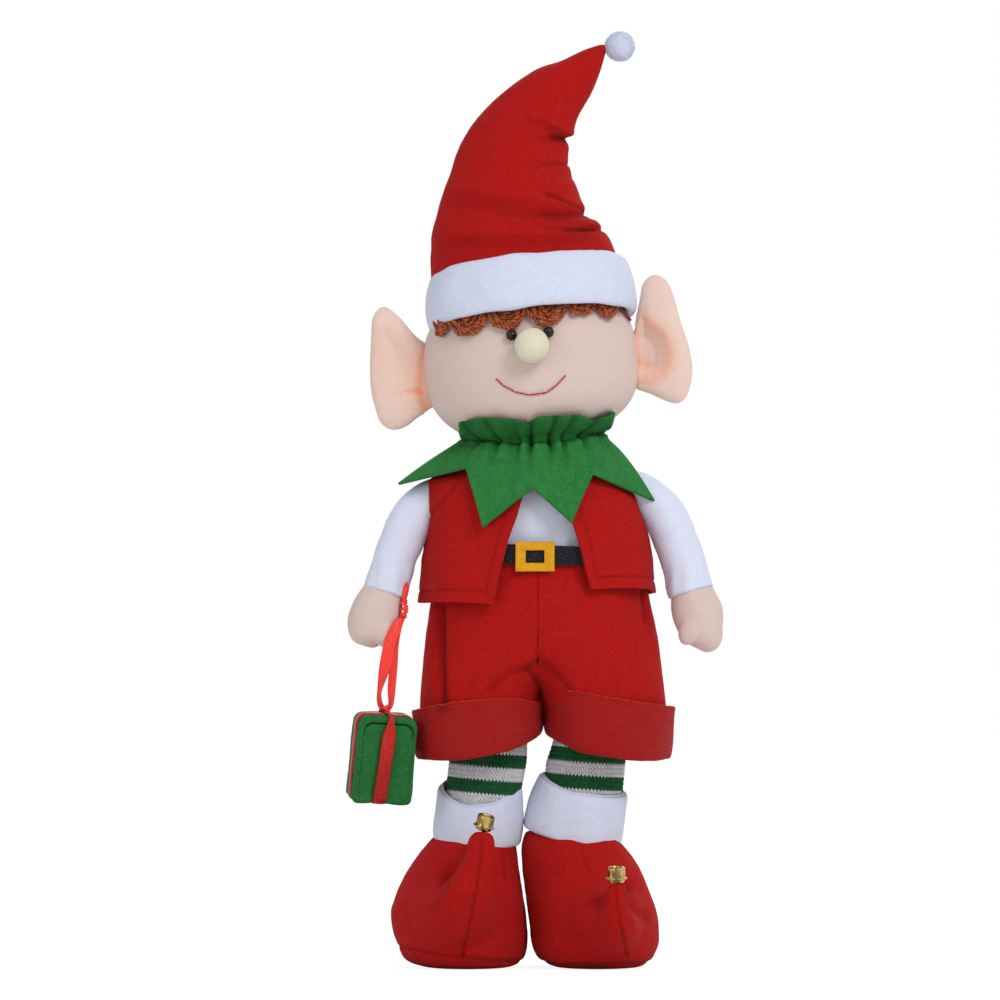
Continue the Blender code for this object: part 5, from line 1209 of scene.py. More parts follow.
def leg_rows(side, angles):
    """Rings of one trouser leg: down to the fold, round it and up the outside of the cuff."""
    rise = np.array([CUFF_INNER_RISE * ((1 - math.sin(angle)) / 2) ** 3 for angle in angles])
    tops = np.interp(np.degrees(angles) % 360, np.arange(0, 390, 30), CUFF_TOPS[side] + CUFF_TOPS[side][:1])
    bottom = CUFF_BOTTOM + rise
    rows = [(x, y, a, b, np.full(len(angles), z)) for x, y, z, a, b in LEG_RINGS[side]]
    x, (a, b), fold = CUFF_CENTRES[side], CUFF_HALF, CUFF_STANDOFF
    rows.append((x, 0.0, a - fold, b - fold, bottom + fold))
    rows.append((x, 0.0, a - fold / 2, b - fold / 2, bottom))
    rows.append((x, 0.0, a, b, bottom + fold * 0.8))
    for share, flare in ((0.33, 0.0008), (0.66, 0.0006), (0.94, 0.0010), (1.0, 0.0014)):
        rows.append((x, 0.0, a + flare, b + flare, bottom + (tops - bottom) * share))
    return rows


def trouser_cage():
    """The trousers as one coarse open skin: hips, legs and turned-up ends, with the cuffs set apart."""
    bm = bmesh.new()
    rows = [[bm.verts.new(point) for point in hip_ring(*row)] for row in HIP_RINGS]
    for high, low in zip(rows, rows[1:]):
        for i in range(HIP_SIDES):
            bm.faces.new((high[i], high[i - 1], low[i - 1], low[i]))
    depth = HIP_RINGS[-1][4] * CROTCH_TUCK
    crotch = [bm.verts.new((CROTCH_X, depth * math.cos(math.pi * k / CROTCH_STEPS), CROTCH_Z))
              for k in range(1, CROTCH_STEPS)]
    angles = leg_angles()
    outline = [[float(part) * LEG_SWELL for part in oval(angle, LEG_SQUARE)] for angle in angles]
    for side, mirror in (("left", 1), ("right", -1)):
        above = [rows[-1][(i * mirror) % HIP_SIDES] for i in range(HIP_SIDES // 2 + 1)] + crotch
        for number, (x, y, half_width, half_depth, heights) in enumerate(leg_rows(side, angles)):
            ring = [bm.verts.new((x + mirror * u * half_width, y + v * half_depth, height))
                    for (u, v), height in zip(outline, heights)]
            for i in range(len(above)):
                quad = (above[i], above[i - 1], ring[i - 1], ring[i])
                face = bm.faces.new(quad[::mirror])
                face.material_index = int(number >= CUFF_FIRST_ROW)
            above = ring
    bmesh.ops.recalc_face_normals(bm, faces=bm.faces)
    return bm


def finer_seam(mesh):
    """Splits the faces down the front seam, so that its groove can be narrow."""
    bm = opened(mesh)
    chosen = []
    for edge in bm.edges:
        a, b = (vert.co for vert in edge.verts)
        level = abs(a.x - b.x) > abs(a.z - b.z) and a.y < -0.02
        near = max(abs(a.x - TROUSER_SEAM), abs(b.x - TROUSER_SEAM)) < 0.0042
        if level and near and min(a.z, b.z) > SEAM_FOOT:
            chosen.append(edge)
    bmesh.ops.subdivide_edges(bm, edges=chosen, cuts=4)
    bm.to_mesh(mesh)
    bm.free()


def raw_edges(mesh):
    """Thin strands along the open edges of the turned-up cuffs, where the cloth was cut."""
    bm = opened(mesh)
    links = {}
    for edge in bm.edges:
        a, b = edge.verts
        if edge.is_boundary and a.co.z < 0.16:
            links.setdefault(a.index, []).append(b.index)
            links.setdefault(b.index, []).append(a.index)
    strands, seen = [], set()
    for start in sorted(links):
        if start in seen:
            continue
        loop, here = [], start
        while here is not None:
            seen.add(here)
            loop.append(bm.verts[here].co[:])
            here = next((other for other in links[here] if other not in seen), None)
        line = spline(loop, len(loop) * 3, closed=True)
        line += RNG.normal(0, 0.00010, line.shape)
        strand = tube(line, 0.00042 * RNG.uniform(0.6, 1.3, len(line)), 6)
        strands.append(np.vstack([strand, strand[:1]]))
    bm.free()
    return strands


def trouser_skin():
    """The cage rounded off into cloth, with its pleats and its front and back seams pressed in."""
    cage = bpy.data.meshes.new("trousers")
    bm = trouser_cage()
    bm.to_mesh(cage)
    bm.free()
    obj = loose("trousers", cage)
    subdivision = obj.modifiers.new("Soft", "SUBSURF")
    subdivision.levels = subdivision.render_levels = 3
    mesh = evaluated(obj)
    finer_seam(mesh)
    points, normals = points_of(mesh), normals_of(mesh)
    out = np.sign(np.sum(normals[:, :2] * points[:, :2], axis=1).mean())
    front = np.clip((-0.004 - points[:, 1]) / 0.008, 0, 1)
    depth = lumps(points * (1, 1, 0.55), 0.018, 13) * 0.9 + lumps(points, 0.006, 14) * 0.2
    crease = np.zeros(len(points))
    for line, amount, width in TROUSER_PLEATS:
        fold, swell = (near_line(points, line, reach * MM) * front for reach in (width, width * 2.6))
        depth += amount * (0.45 * swell - 1.3 * fold)
        crease += fold * 0.22 * amount
    seam = hump(points[:, 0] - TROUSER_SEAM, 0.0005) * np.clip(abs(points[:, 1]) / 0.01 - 1, 0, 1)
    seam *= np.clip((points[:, 2] - SEAM_FOOT - 0.001) / 0.006, 0, 1)
    set_points(mesh, points + normals * ((depth - seam * 0.9) * MM * out)[:, None])
    # Painted shade in the pleats and along the seam's groove.
    return marked(mesh, "crease", crease + seam * 0.75)


def make_trousers(cloth):
    skin = trouser_skin()
    strands = raw_edges(skin)
    mesh = thickened(skin, FLEECE)
    points = points_of(mesh)
    side = np.where(points[:, 0] > CROTCH_X, 1, -1)
    from_outside = np.arctan2(points[:, 1], points[:, 0] * side - LEG_MIDDLE)
    marked(mesh, "round", (from_outside + math.pi) * LEG_GIRTH)
    trousers = piece("trousers_cloth", mesh, [cloth["red"], cloth["knit_back"]], "trousers")
    piece("cuff_raw_edges", bundle("raw", strands), cloth["raw"])


def make_belt(cloth):
    x, y, _, half_width, half_depth = HIP_RINGS[0]
    columns, rows = 160, 40
    u, v = oval(turns(columns), HIP_SQUARE)
    inside = FLEECE / 2 + 0.0006
    profile = [(0, 0), (FELT, 0), (FELT, BELT_HEIGHT), (0, BELT_HEIGHT)]
    outline = spline(profile, rows, closed=True)
    grid = np.empty((columns, rows, 3))
    reach = inside + np.clip(outline[:, 0], 0, FELT)
    grid[..., 0] = x + u[:, None] * (half_width + reach)[None]
    grid[..., 1] = y + v[:, None] * (half_depth + reach)[None]
    drop = -math.tan(BELT_SLOPE) * u * half_width + np.sin(turns(columns) * 5) * 0.0003
    grid[..., 2] = BELT_BOTTOM + np.clip(outline[None, :, 1], 0, BELT_HEIGHT) + drop[:, None]
    mesh = mesh_of("belt", grid, loop=True)
    pushed(mesh, lumps(points_of(mesh), 0.005, 15) * 0.15 * MM)
    piece("belt_felt", mesh, cloth["black"], "belt")
    make_buckle(cloth, y - half_depth - inside - FELT)


def square_loop(size, steps=16):
    """Points at even steps round a rectangle's four sides."""
    corners = np.array([(-1, -1), (1, -1), (1, 1), (-1, 1)]) * size / 2
    ends = np.roll(corners, -1, axis=0)
    return np.vstack([np.linspace(a, b, steps, endpoint=False) for a, b in zip(corners, ends)])


def make_buckle(cloth, front):
    """A square felt ring, cut by hand, so its edges are not quite straight."""
    hole, rim = square_loop(BUCKLE_HOLE), square_loop(BUCKLE_SIZE)
    grid = np.empty((len(rim), 16, 3))
    shares = np.linspace(0, 1, 8)
    for k, (share, back) in enumerate([(s, 0) for s in shares] + [(s, 1) for s in shares[::-1]]):
        flat = hole * (1 - share) + rim * share
        rounding = 0.0002 * (share in (0.0, 1.0))
        grid[:, k, 0] = BUCKLE_CENTRE[0] + flat[:, 0]
        grid[:, k, 2] = BUCKLE_CENTRE[1] + flat[:, 1]
        grid[:, k, 1] = front - 0.0002 - back * FELT + rounding * (1 if back else -1)
    mesh = mesh_of("buckle", grid, loop=True)
    pushed(mesh, lumps(points_of(mesh), 0.004, 16) * 0.12 * MM)
    piece("buckle_felt", mesh, cloth["yellow"], "buckle")


def vest_skin(columns=250, rows=84):
    """The open vest from its left front edge round the back to its right one, with its stitched hem."""
    share, rise = np.linspace(0, 1, columns + 1)[None], np.linspace(0, 1, rows + 1)[:, None]
    hem = VEST_HEMS["left"] + (VEST_HEMS["right"] - VEST_HEMS["left"]) * share
    hem = hem + 0.0012 * np.sin(share * 15)
    z = hem + (VEST_TOP - hem) * rise
    middle, _, _, half_width, half_depth = np.moveaxis(rows_at(VEST_RINGS, z), -1, 0)
    edges = rows_at(VEST_EDGES, z, key=0)
    start = angle_at((edges[..., 2] - middle) / half_width)
    end = 2 * math.pi + angle_at((edges[..., 1] - middle) / half_width)
    angles = start + (end - start) * share
    u, v = oval(angles, HIP_SQUARE)
    girth = (end - start) * 0.5 * (half_width + half_depth)
    from_edge, from_hem = np.minimum(share, 1 - share) * girth, z - hem
    stitched = hump(from_edge - 0.0046, 0.0007) + hump(from_hem - 0.0056, 0.0007)
    stitched = np.clip(stitched, 0, 1) * (from_hem > 0.003) * (from_edge > 0.0035)
    curl = np.exp(-(from_edge / 0.010)) * 0.0012 + np.exp(-(from_hem / 0.010)) * 0.0006
    sway = 0.0012 * np.sin(angles * 7 + 1) * np.clip((0.215 - z) / 0.03, 0, 1)
    reach = curl + sway - stitched * 0.0006
    fullness = np.array(SHOULDER_FULLNESS)
    over = 1 + np.interp(z, fullness[:, 0], fullness[:, 1]) * smooth_step(-u * 1.4)
    across, back = u * (half_width + reach) * over, v * (half_depth + reach)
    mesh = mesh_of("vest", np.stack([middle + across, back, z], axis=-1), wrap=False)
    points = points_of(mesh)
    ahead = (points[:, 1] < 0.004).astype(float)
    seam, swell = (near_line(points, SHOULDER_SEAM, width) * ahead for width in (0.0010, 0.0060))
    pushed(mesh, (lumps(points, 0.013, 17) * 0.5 - seam * 0.8 + swell * 0.5) * MM)
    # Painted shade along the shoulder seam and the stitched grooves.
    return marked(mesh, "crease", seam * 0.45 + stitched.reshape(-1) * 0.3)


def angle_at(across):
    """The angle of the outline's point at this share of its half width."""
    return np.sign(across) * np.arcsin(np.abs(across) ** (HIP_SQUARE / 2))


def make_vest(cloth):
    obj = loose("vest", vest_skin())
    solidified(obj, FLEECE)
    holes = []
    for side, (x, level) in ARMHOLE_PLACES.items():
        flat = levels([(0, 0, 0, *ARMHOLE_HALF), (0, 0, ARMHOLE_REACH, *ARMHOLE_HALF)], 2, 48)
        hole = mesh_of("armhole", flat[..., [2, 0, 1]] + (x, 0, level))
        holes.append(loose("armhole_" + side, hole))
    mesh = cut_out(obj, holes, 60)
    vest = piece("vest_fleece", mesh, cloth["red"], "vest")


def neck_points(angles):
    """Where the gathering thread runs. It rides a little higher at the sides, most at the left."""
    sine = np.sin(angles)
    rise = 0.0010 + 0.0034 * sine ** 2 * (np.cos(angles) > 0) + 0.0014 * sine
    return NECK_CENTRE + np.column_stack([sine * NECK_HALF[0], -np.cos(angles) * NECK_HALF[1], rise])


def collar_columns(count):
    """For each column of the strip: its angle at the neck and its lower edge."""
    neck, edge = [], []
    for i, tip in enumerate(COLLAR_TIPS):
        start, end = COLLAR_NECK_ANGLES[i - 1], COLLAR_NECK_ANGLES[i]
        start = start - 360 if i == 0 else start
        before, after = COLLAR_VALLEYS[i - 1], COLLAR_VALLEYS[i]
        for share in np.linspace(0, 1, count // len(COLLAR_TIPS), endpoint=False):
            valley = np.array(before if share < 0.5 else after)
            pull = (1 - abs(2 * share - 1)) ** 1.12
            neck.append(start + (end - start) * share)
            edge.append(valley + (np.array(tip) - valley) * pull)
    return np.radians(neck), np.array(edge)


def ruffle(angles, outward, gathers, join):
    """The rows of the ruffle from its top down to the gathering thread, and the painted shade on them."""
    neck, up = neck_points(angles), np.array((0, 0, 1.0))
    wide = (np.degrees(angles) + 180) % 360 - 180
    tops = np.array(RUFFLE_TOPS + [(180, *RUFFLE_TOPS[0][1:])])
    flare, height = (np.interp(wide, tops[:, 0], tops[:, k]) * MM for k in (1, 2))
    rows, creases = [], []
    for lift in np.linspace(1, 0, RUFFLE_ROWS, endpoint=False):
        out = flare * lift ** 0.75 * 0.6 + join
        row = clear_of_head(neck + outward * out[:, None] + up * (height * lift)[:, None], 0.0026)
        waves = gathers * (0.0018 + 0.0004 * (1 - lift)) + flare * lift * 0.4 * np.cos(angles) ** 2
        row += outward * waves[:, None]
        from_middle = row[:, 0] - NECK_CENTRE[0]
        row[:, 0] -= np.sign(from_middle) * np.clip(np.abs(from_middle) - RUFFLE_HALF, 0, 1) * 0.8
        rows.append(row)
        tight = np.clip(0.0035 - flare, 0, 0.0035) / 0.0035
        # Painted shade: in the gathers' hollows, more where the ruffle is tight, most along the gathering
        # thread, and some all over the ruffle where the head shades it.
        creases.append(np.clip(-gathers, 0, 1) * 0.60 + tight * 0.25 + 0.36)
    rows.append(neck + outward * (gathers * 0.0013 - 0.0013 + join)[:, None])
    creases.append(0.60 + np.clip(-gathers, 0, 1) * 0.4)
    return rows, creases


def make_collar(cloth):
    """The gathered strip: ruffle, gathering thread and six soft points, each column led down by a curve."""
    angles, edge = collar_columns(COLLAR_COLUMNS)
    neck, up = neck_points(angles), np.array((0, 0, 1.0))
    outward = unit(np.column_stack([np.sin(angles) * NECK_HALF[0], -np.cos(angles) * NECK_HALF[1],
                                    np.zeros(len(angles))]))
    wide = (np.degrees(angles) + 180) % 360 - 180
    gathers = np.sin(angles * 21 + 1.6 * np.sin(angles * 3))
    gathers += 0.7 * np.sin(angles * 37 + 2 + np.sin(angles * 5))
    gathers *= 0.6 * (0.6 + 0.5 * hump(wide - 6, 34))
    beyond = np.exp(-(angles - COLLAR_JOIN) / 0.35)
    join = np.where(angles > COLLAR_JOIN, beyond, 0) * (angles < 2) * 0.0010
    rows, creases = ruffle(angles, outward, gathers, join)
    bend = neck + outward * COLLAR_SPREAD
    for t in np.linspace(0, 1, POINT_ROWS + 1)[1:]:
        down = neck * (1 - t) ** 2 + bend * 2 * t * (1 - t) + edge * t * t
        fade = hump(t, 0.42)
        ripple = gathers * 0.0030 * fade + 0.0012 * np.sin(angles * 8 + 1) * t * (1 - t) * 2
        puff = 0.0016 * hump(t - 0.16, 0.12) + join * (1 - t)
        rows.append(down + outward * (ripple + puff)[:, None] + up * (ripple * 0.5)[:, None])
        # Painted shade in the gathers' hollows, and next to the gathering thread under the ruffle.
        creases.append(np.clip(-gathers, 0, 1) * fade * 0.65 + 0.5 * math.exp(-t / 0.08))
    surface = marked(mesh_of("collar", np.array(rows), caps=False), "crease", np.array(creases).reshape(-1))
    mesh = thickened(surface, FELT)
    collar = piece("collar_felt", mesh, cloth["green"], "collar")


def stitch_lobe(stations, middle, row, lean, width, slant):
    """One side of a V stitch, as a tapered strand that follows the leg."""
    t = np.linspace(0, 1, 4)
    angles = middle + lean * width * (0.08 + 0.34 * t)
    base = KNIT_SPAN[0] + row * STITCH_ROW + slant * np.sin(angles) * KNIT_RADIUS
    heights = base + (t - 0.2) * STITCH_ROW * 1.45
    ring = rows_at(stations, heights)
    stand = 0.0002 + 0.00045 * np.sin(t * math.pi)
    path = np.column_stack([ring[:, 0] + np.sin(angles) * (ring[:, 3] + stand),
                            ring[:, 1] - np.cos(angles) * (ring[:, 4] + stand), heights])
    return tube(path, STITCH_SIZE * np.array((0.40, 1.05, 1.0, 0.40)), 4)


def make_legs(cloth):
    """Knitted stockings: each stitch is a V of two slanting lobes, in stripes of three rows."""
    columns = round(2 * math.pi * KNIT_RADIUS / STITCH_PITCH)
    rows = round((KNIT_SPAN[1] - KNIT_SPAN[0]) / STITCH_ROW)
    width = 2 * math.pi / columns
    for side, stations in LEG_STATIONS.items():
        lobes = {"green": [], "white": []}
        slant = math.tan(STRIPE_SLANT[side])
        for row in range(rows):
            colour = "green" if (row + STRIPE_PHASE[side]) // STRIPE_ROWS % 2 else "white"
            for column in range(columns):
                middle = 2 * math.pi * (column + 0.5) / columns
                for lean in (-1, 1):
                    lobes[colour].append(stitch_lobe(stations, middle, row, lean, width, slant))
        for colour, grids in lobes.items():
            piece(f"stocking_{side}_{colour}_stitches", bundle("stitches", grids), cloth["knit_" + colour])
        # The stocking's under-skin, seen between the stitches, carries the painted shade of the gaps.
        mesh = mesh_of("stocking_" + side, levels(stations, 50, 60))
        gap_shade_sheet = piece("stocking_gap_shade_" + side, mesh, cloth["knit_gap"], "leg_" + side)


def sole_rise(side, points):
    """The right sole's seam climbs towards its outer side. The left one lies lower, almost under the boot."""
    out = np.clip((BOOT_STATIONS[side][4][0] - points[:, 0]) / 0.030, -1, 1)
    return 0.0004 + 0.0036 * out if side == "right" else np.full(len(points), -0.0034)


def boot_skin(side):
    """A boot's skin, with its soft lumps and its seams pressed in, flat underneath."""
    foot = mesh_of("foot", levels(BOOT_STATIONS[side], 90, 120))
    toe = mesh_of("toe", sweep(TOE_STATIONS[side], 90, 72))
    boot = fused("boot_" + side, (foot, toe), 0.00115, 6)
    filled_in(boot, BOOT_FILL)
    points = points_of(boot)
    front = np.clip((-0.004 - points[:, 1]) / 0.004, 0, 1)
    lines = ((BOOT_SEAMS, 0.0007), (UPPER_SEAMS, 0.0009), (BOOT_VALLEYS, 0.0024))
    seam, upper, valley = (near_line(points, line[side], width) * front for line, width in lines)
    sole = hump(points[:, 2] - SOLE_SEAM - sole_rise(side, points), 0.0009)
    middle = rows_at(BOOT_STATIONS[side], points[:, 2])[:, 0]
    back = hump(points[:, 0] - middle, 0.0010) * (points[:, 1] > 0.012)
    rounding = np.clip(points[:, 2] / 0.004, 0, 1)
    soft = lumps(points, 0.018, 18) * 1.0 + lumps(points, 0.006, 19) * 0.25
    grooves = (seam + sole * 0.8 + back * 0.7 + upper * 0.5) * SEAM_DEPTH
    pushed(boot, (soft * rounding - grooves - valley * 1.6) * MM)
    # Painted shade in the seams, along the sole, down the back and in the valleys beside the toe.
    marked(boot, "crease", seam * 0.60 + sole * 0.50 + back * 0.5 + upper * 0.35 + valley * 0.30)
    points = points_of(boot)
    points[:, 2] = np.maximum(points[:, 2], 0.0001)
    set_points(boot, points)
    return boot


def make_boots(cloth):
    for side, (centre, pitch, lean, width) in BAND_PLACES.items():
        boot = boot_skin(side)
        fibres = pile("boot_pile", boot, 8000, 0.0006, 0.00009, 0.9, keep=off_the_ground)
        nodes = ("boot_" + side, "sole_" + side)
        shoe = piece("boot_fleece_" + side, boot, cloth["red"], nodes)
        piece("boot_fibres_" + side, fibres, cloth["red"])
        place = (centre, pitch, lean, 1.06, width, 2.0)
        white_band("boot_band_" + side, "boot_cuff_" + side, BAND_PROFILE, 140, place, cloth, 10000,
                   21 + len(side), BAND_SAG[side])
        make_bell(cloth, side)


def off_the_ground(places):
    return places[:, 2] > 0.002


def box_mesh(size, centre):
    bm = bmesh.new()
    bmesh.ops.create_cube(bm, size=1.0)
    bmesh.ops.scale(bm, vec=size, verts=bm.verts)
    bmesh.ops.translate(bm, vec=centre, verts=bm.verts)
    mesh = bpy.data.meshes.new("box")
    bm.to_mesh(mesh)
    bm.free()
    mesh.shade_smooth()
    return mesh


def make_bell(cloth, side):
    """A two-part jingle bell: slotted cap with a rolled rim round a sunk top, thin flange, shallow base."""
    r, top, wall, brim, base = BELL_RADIUS, BELL_TOP, BELL_WALL, BELL_BRIM, BELL_BASE
    outline = [(BELL_STEM, 0.0), (base * 0.7, 0.0002), (base, wall), (base + 0.0004, brim * 0.6),
               (r, brim - 0.0002), (BELL_FLANGE, brim), (BELL_FLANGE + 0.0001, brim + 0.00025),
               (BELL_FLANGE, brim + 0.0005), (r + 0.0001, brim + 0.0006), (r, brim + 0.0012),
               (r, top - 0.0012), (r - 0.0002, top - 0.0005), (r - 0.0007, top - 0.0001), (r - 0.0010, top),
               (r - 0.0014, top - 0.0002), (r - 0.0017, top - 0.0008), (BELL_STEM, top - 0.0009),
               (BELL_STEM, top - 0.0009 - wall), (r - 0.0018, top - 0.0009 - wall), (r - wall, top - 0.0018),
               (r - wall, brim), (base - wall, wall * 2), (BELL_STEM, wall)]
    ends = outline[1:] + outline[:1]
    steps = np.vstack([np.linspace(a, b, 4, endpoint=False) for a, b in zip(outline, ends)])
    u, v = oval(turns(64), 2.0)
    heights = np.broadcast_to(steps[None, :, 1], (64, len(steps)))
    grid = np.stack([u[:, None] * steps[None, :, 0], v[:, None] * steps[None, :, 0], heights], axis=-1)
    grid[..., 2] += 0.00018 * np.sin(turns(64) * 2 + 1)[:, None] * (steps[None, :, 0] > BELL_FLANGE - 0.0002)
    slot = box_mesh((BELL_RADIUS * 2 - 0.0034, BELL_SLOT, 0.0030), (0, 0, BELL_TOP))
    mesh = cut_out(loose("bell", mesh_of("bell", grid, loop=True)), [loose("slot", slot)], 35)
    turn = Matrix.Rotation(BELL_LEAN[side], 4, "Y") @ Matrix.Rotation(BELL_NOD, 4, "X")
    tip = Matrix.Translation(TOE_STATIONS[side][-1][:3])
    mesh.transform(tip @ turn @ Matrix.Translation((0, 0, 0.0004)))
    piece("bell_brass_" + side, mesh, cloth["brass"], "bell_" + side)


def gift_frame():
    turned_round = Matrix.Translation(GIFT_CENTRE) @ Matrix.Rotation(GIFT_TURN, 4, "Z")
    return turned_round @ Matrix.Rotation(GIFT_LEAN, 4, "Y") @ Matrix.Rotation(GIFT_NOD, 4, "X")


def gift_outline(count):
    """The block's outline seen from the front: round at the top, tighter at the bottom."""
    half_x, half_z = GIFT_SIZE[0] / 2, GIFT_SIZE[2] / 2
    rows = []
    for sx, sz, radius in ((1, 1, 0.0052), (-1, 1, 0.0052), (-1, -1, 0.0022), (1, -1, 0.0022)):
        for angle in np.linspace(0, math.pi / 2, 7):
            a, b = (math.cos(angle), math.sin(angle)) if sx * sz > 0 else (math.sin(angle), math.cos(angle))
            rows.append((sx * (half_x - radius + a * radius), sz * (half_z - radius + b * radius)))
    corners = np.array(rows + rows[:1])
    length = np.concatenate([[0], np.cumsum(np.linalg.norm(np.diff(corners, axis=0), axis=1))])
    places = np.linspace(0, length[-1], count, endpoint=False)
    return np.column_stack([np.interp(places, length, corners[:, k]) for k in (0, 1)])


def gift_skin(outline, half):
    """The felt over the block: its front face, the groove round the face's top, its sides and its back."""
    # Share of the way out to the outline, and how far back from the front the felt lies there
    face = [(s, 0.0009) for s in np.linspace(0.02, 0.80, 26)]
    face += [(s, 0.0009) for s in (0.815, 0.826, 0.838, 0.850)]
    face += [(0.865, 0.0005), (0.88, 0.0002), (0.91, 0.0), (0.95, 0.0002), (0.98, 0.0008), (1.0, 0.0020)]
    loops = [(share, -half[1] + back) for share, back in face]
    loops += [(1.0, y) for y in np.linspace(-half[1] + 0.0035, half[1] - 0.0035, 14)]
    loops += [(share, half[1] - back) for share, back in face[::-1]]
    grid = np.array([np.column_stack([outline[:, 0] * share, np.full(len(outline), y), outline[:, 1] * share])
                     for share, y in loops])
    mesh = mesh_of("gift", grid)
    points = points_of(mesh)
    shares = np.repeat([share for share, _ in loops], len(outline))
    height = points[:, 2] / half[2]
    groove = hump(shares - GIFT_GROOVE, 0.012) * smooth_step((height - 0.45) / 0.35) * (points[:, 1] < 0)
    foot = smooth_step((-height - 0.75) / 0.2)
    waves = lumps(points * (1, 0.4, 0.2), 0.007, 27) * foot * 0.9
    soft = lumps(points, 0.010, 24) * 0.6 + lumps(points, 0.004, 26) * 0.12
    pushed(mesh, (soft + waves - groove * 1.3) * MM)
    # Painted shade in the groove round the face.
    return marked(mesh, "crease", groove * 0.9)


def front_ribbon(half):
    """The ribbon over front and back: drawn tight at the knot, leaning across, and clear of the ground."""
    band = ribbon_loop(half[1] + 0.0014, half[2] + 0.0012, 0.0034)
    ahead = np.clip(-band[..., 1] / 0.008, -0.3, 1)
    tight = 1 - 0.62 * smooth_step((band[..., 2] - half[2] + 0.0075) / 0.0075)
    band[..., 0] = band[..., 0] * tight * 1.06 + (band[..., 2] - half[2] * 0.6) * 0.055 * ahead
    band[..., 2] += 0.0012 * smooth_step(-band[..., 2] / half[2])
    return band


def make_gift(cloth):
    outline, half = gift_outline(GIFT_COLUMNS), GIFT_SIZE / 2
    mesh = gift_skin(outline, half)
    mesh.transform(gift_frame())
    box = piece("gift_felt", mesh, cloth["gift"], "gift_box")
    for name, band in (("side", hugging_band(outline)), ("front", front_ribbon(half))):
        mesh = mesh_of("gift_ribbon_" + name, band, loop=True)
        points = points_of(mesh)
        pushed(mesh, lumps(points, 0.006, 25) * 0.12 * MM)
        # Painted shade: the ribbons grow darker towards the bottom, away from the light above.
        marked(mesh, "crease", smooth_step(0.5 - points[:, 2] / half[2]) * 0.5)
        mesh.transform(gift_frame())
        piece("gift_ribbon_satin_" + name, mesh, cloth["gift_satin"], "gift_ribbon_" + name)


def ribbon_loop(half_deep, half_up, radius, steps=12):
    """A flat band over the front and back of a rounded rectangle."""
    centres = []
    y, z = half_deep - radius, half_up - radius
    for corner, (sy, sz) in enumerate(((1, 1), (-1, 1), (-1, -1), (1, -1))):
        for angle in np.linspace(corner, corner + 1, steps) * math.pi / 2:
            centres.append((sy * y, sz * z, math.cos(angle), math.sin(angle)))
    centres = np.array(centres + centres[:1])
    dense = np.vstack([np.linspace(a, b, 6, endpoint=False) for a, b in zip(centres[:-1], centres[1:])])
    grid = np.empty((len(dense), len(RIBBON_SECTION), 3))
    for k, (side, rise) in enumerate(RIBBON_SECTION):
        out = radius + rise * RIBBON
        grid[:, k, 0] = side * RIBBON_WIDTH / 2
        grid[:, k, 1] = dense[:, 0] + dense[:, 2] * out
        grid[:, k, 2] = dense[:, 1] + dense[:, 3] * out
    return grid


def hugging_band(outline):
    """A flat ribbon that follows a closed outline all the way round."""
    along = np.roll(outline, -1, axis=0) - np.roll(outline, 1, axis=0)
    out = unit(np.column_stack([along[:, 1], -along[:, 0]]))
    out *= np.sign(np.sum(out * outline, axis=1, keepdims=True))
    band = np.empty((len(outline), len(RIBBON_SECTION), 3))
    for k, (side, rise) in enumerate(RIBBON_SECTION):
        place = outline + out * rise * RIBBON
        band[:, k] = np.column_stack([place[:, 0], np.full(len(place), side * RIBBON_WIDTH / 2), place[:, 1]])
    return band


def ribbon_strand(rows):
    """One flat strand of ribbon through its stations, with a slight crown."""
    data = spline(rows, 80)
    line, width, turn = data[:, :3], data[:, 3], data[:, 4]
    along = unit(np.gradient(line, axis=0))
    axis = np.column_stack([np.cos(turn), np.sin(turn), np.zeros(80)])
    across = unit(axis - along * np.sum(axis * along, axis=1, keepdims=True))
    flat = np.cross(across, along)
    strip = np.empty((80, 18, 3))
    for k in range(18):
        side = (k if k < 9 else 17 - k) / 4 - 1
        rise = RIBBON / 2 * (1 if k < 9 else -1) + 0.0005 * (1 - side * side)
        strip[:, k] = line + across * (side * width / 2)[:, None] + flat * rise
    return strip


def make_hanging_ribbon(cloth):
    """Two strands of satin between a knot at the wrist and one on the gift, and a frayed end."""
    grids = [ribbon_strand(rows) for rows in HANG_ROWS]
    for centre, size in KNOTS:
        for tilt in (0.5, -0.6, 0.0):
            ring = [(math.cos(a) * size, math.sin(a) * size * 0.8, math.cos(a) * size * tilt + tilt * 0.0010)
                    for a in turns(8)]
            loop = spline(np.array(ring) + centre, 40, closed=True)
            grids.append(tube(np.vstack([loop, loop[:2]]), 0.00062, 8))
    end = np.array(HANG_ROWS[2][-1][:3])
    for side in np.linspace(-0.0016, 0.0016, 22):
        tip = RNG.normal(0, 0.0006, 3) + (0.0002, 0, 0.0018)
        grids.append(tube(end + np.linspace(0, 1, 6)[:, None] * tip + (side, 0, -0.0004), 0.00008, 4))
    piece("hanging_ribbon_satin", bundle("hanging", grids), cloth["satin"], "hanging_ribbon")


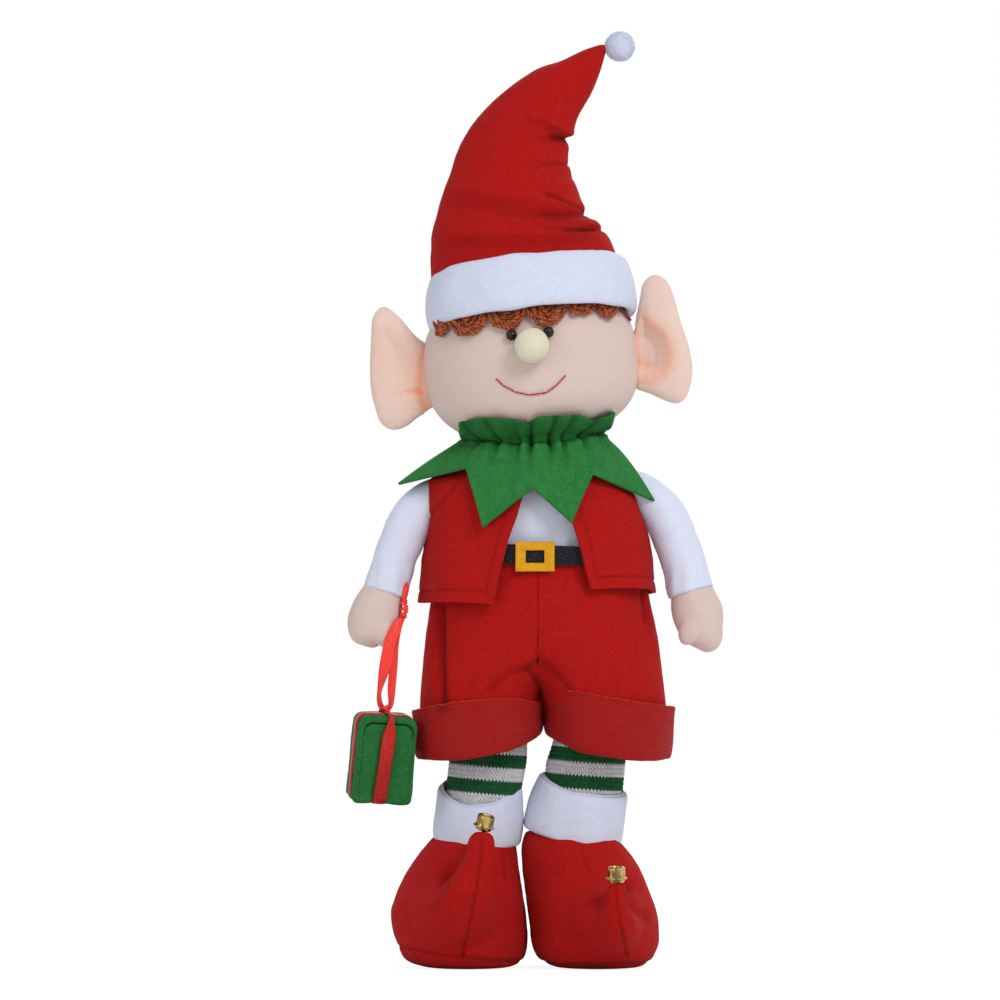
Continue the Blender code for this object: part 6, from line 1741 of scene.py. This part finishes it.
def make_stage():
    """A pale floor, a backdrop that the camera and the shiny pieces see as white, and soft lamps."""
    scene = bpy.context.scene
    floor = bpy.data.meshes.new("floor")
    floor.from_pydata([(-4, -4, 0), (4, -4, 0), (4, 4, 0), (-4, 4, 0)], [], [(0, 1, 2, 3)])
    ground = bpy.data.objects.new("floor", floor)
    scene.collection.objects.link(ground)
    floor.materials.append(paper())
    world = bpy.data.worlds.new("studio")
    scene.world = world
    world.use_nodes = True
    nodes, links = world.node_tree.nodes, world.node_tree.links
    plain, white = nodes["Background"], nodes.new("ShaderNodeBackground")
    plain.inputs["Color"].default_value = (0.95, 0.97, 1.0, 1)
    plain.inputs["Strength"].default_value = WORLD_STRENGTH
    white.inputs["Strength"].default_value = 1.0
    white.inputs["Color"].default_value = (1, 1, 1, 1)
    path, mix = nodes.new("ShaderNodeLightPath"), nodes.new("ShaderNodeMixShader")
    seen = path.outputs["Is Camera Ray"]
    for kind in ("Is Glossy Ray", "Is Transmission Ray"):
        either = nodes.new("ShaderNodeMath")
        either.operation = "MAXIMUM"
        links.new(seen, either.inputs[0])
        links.new(path.outputs[kind], either.inputs[1])
        seen = either.outputs["Value"]
    links.new(seen, mix.inputs["Fac"])
    links.new(plain.outputs["Background"], mix.inputs[1])
    links.new(white.outputs["Background"], mix.inputs[2])
    links.new(mix.outputs["Shader"], nodes["World Output"].inputs["Surface"])
    for name, place, size, power in LAMPS:
        lamp(name, place, size, power)


def lamp(name, place, size, power):
    data = bpy.data.lights.new(name, "AREA")
    data.shape = "DISK"
    data.size = size
    data.energy = power
    obj = bpy.data.objects.new(name, data)
    obj.location = place
    obj.rotation_euler = (Vector((0, 0, 0.22)) - Vector(place)).to_track_quat("-Z", "Y").to_euler()
    bpy.context.scene.collection.objects.link(obj)


def make_camera():
    data = bpy.data.cameras.new("camera")
    data.sensor_width = 36.0
    data.lens = 36.0 * CAMERA_REACH / FRAME_WIDTH
    obj = bpy.data.objects.new("camera", data)
    bpy.context.scene.collection.objects.link(obj)
    aim = Vector(CAMERA_AIM)
    obj.location = aim + Vector((0, -math.cos(CAMERA_RISE), math.sin(CAMERA_RISE))) * CAMERA_REACH
    obj.rotation_euler = (aim - obj.location).to_track_quat("-Z", "Y").to_euler()
    bpy.context.scene.camera = obj


def main():
    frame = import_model()
    cloth = finishes()
    for node in ("bell_pellet_right", "bell_pellet_left"):
        mesh = frame["nodes"][node].data
        mesh.materials.clear()
        mesh.materials.append(cloth["brass"])
    make_head(cloth)
    make_ears(cloth)
    make_face(cloth)
    make_hair(cloth)
    make_hat(cloth)
    make_trim(cloth)
    make_torso(cloth)
    make_arms(cloth)
    make_trousers(cloth)
    make_belt(cloth)
    make_vest(cloth)
    make_collar(cloth)
    make_legs(cloth)
    make_boots(cloth)
    make_gift(cloth)
    make_hanging_ribbon(cloth)
    make_stage()
    make_camera()
    bpy.context.scene.view_settings.view_transform = "Standard"


main()
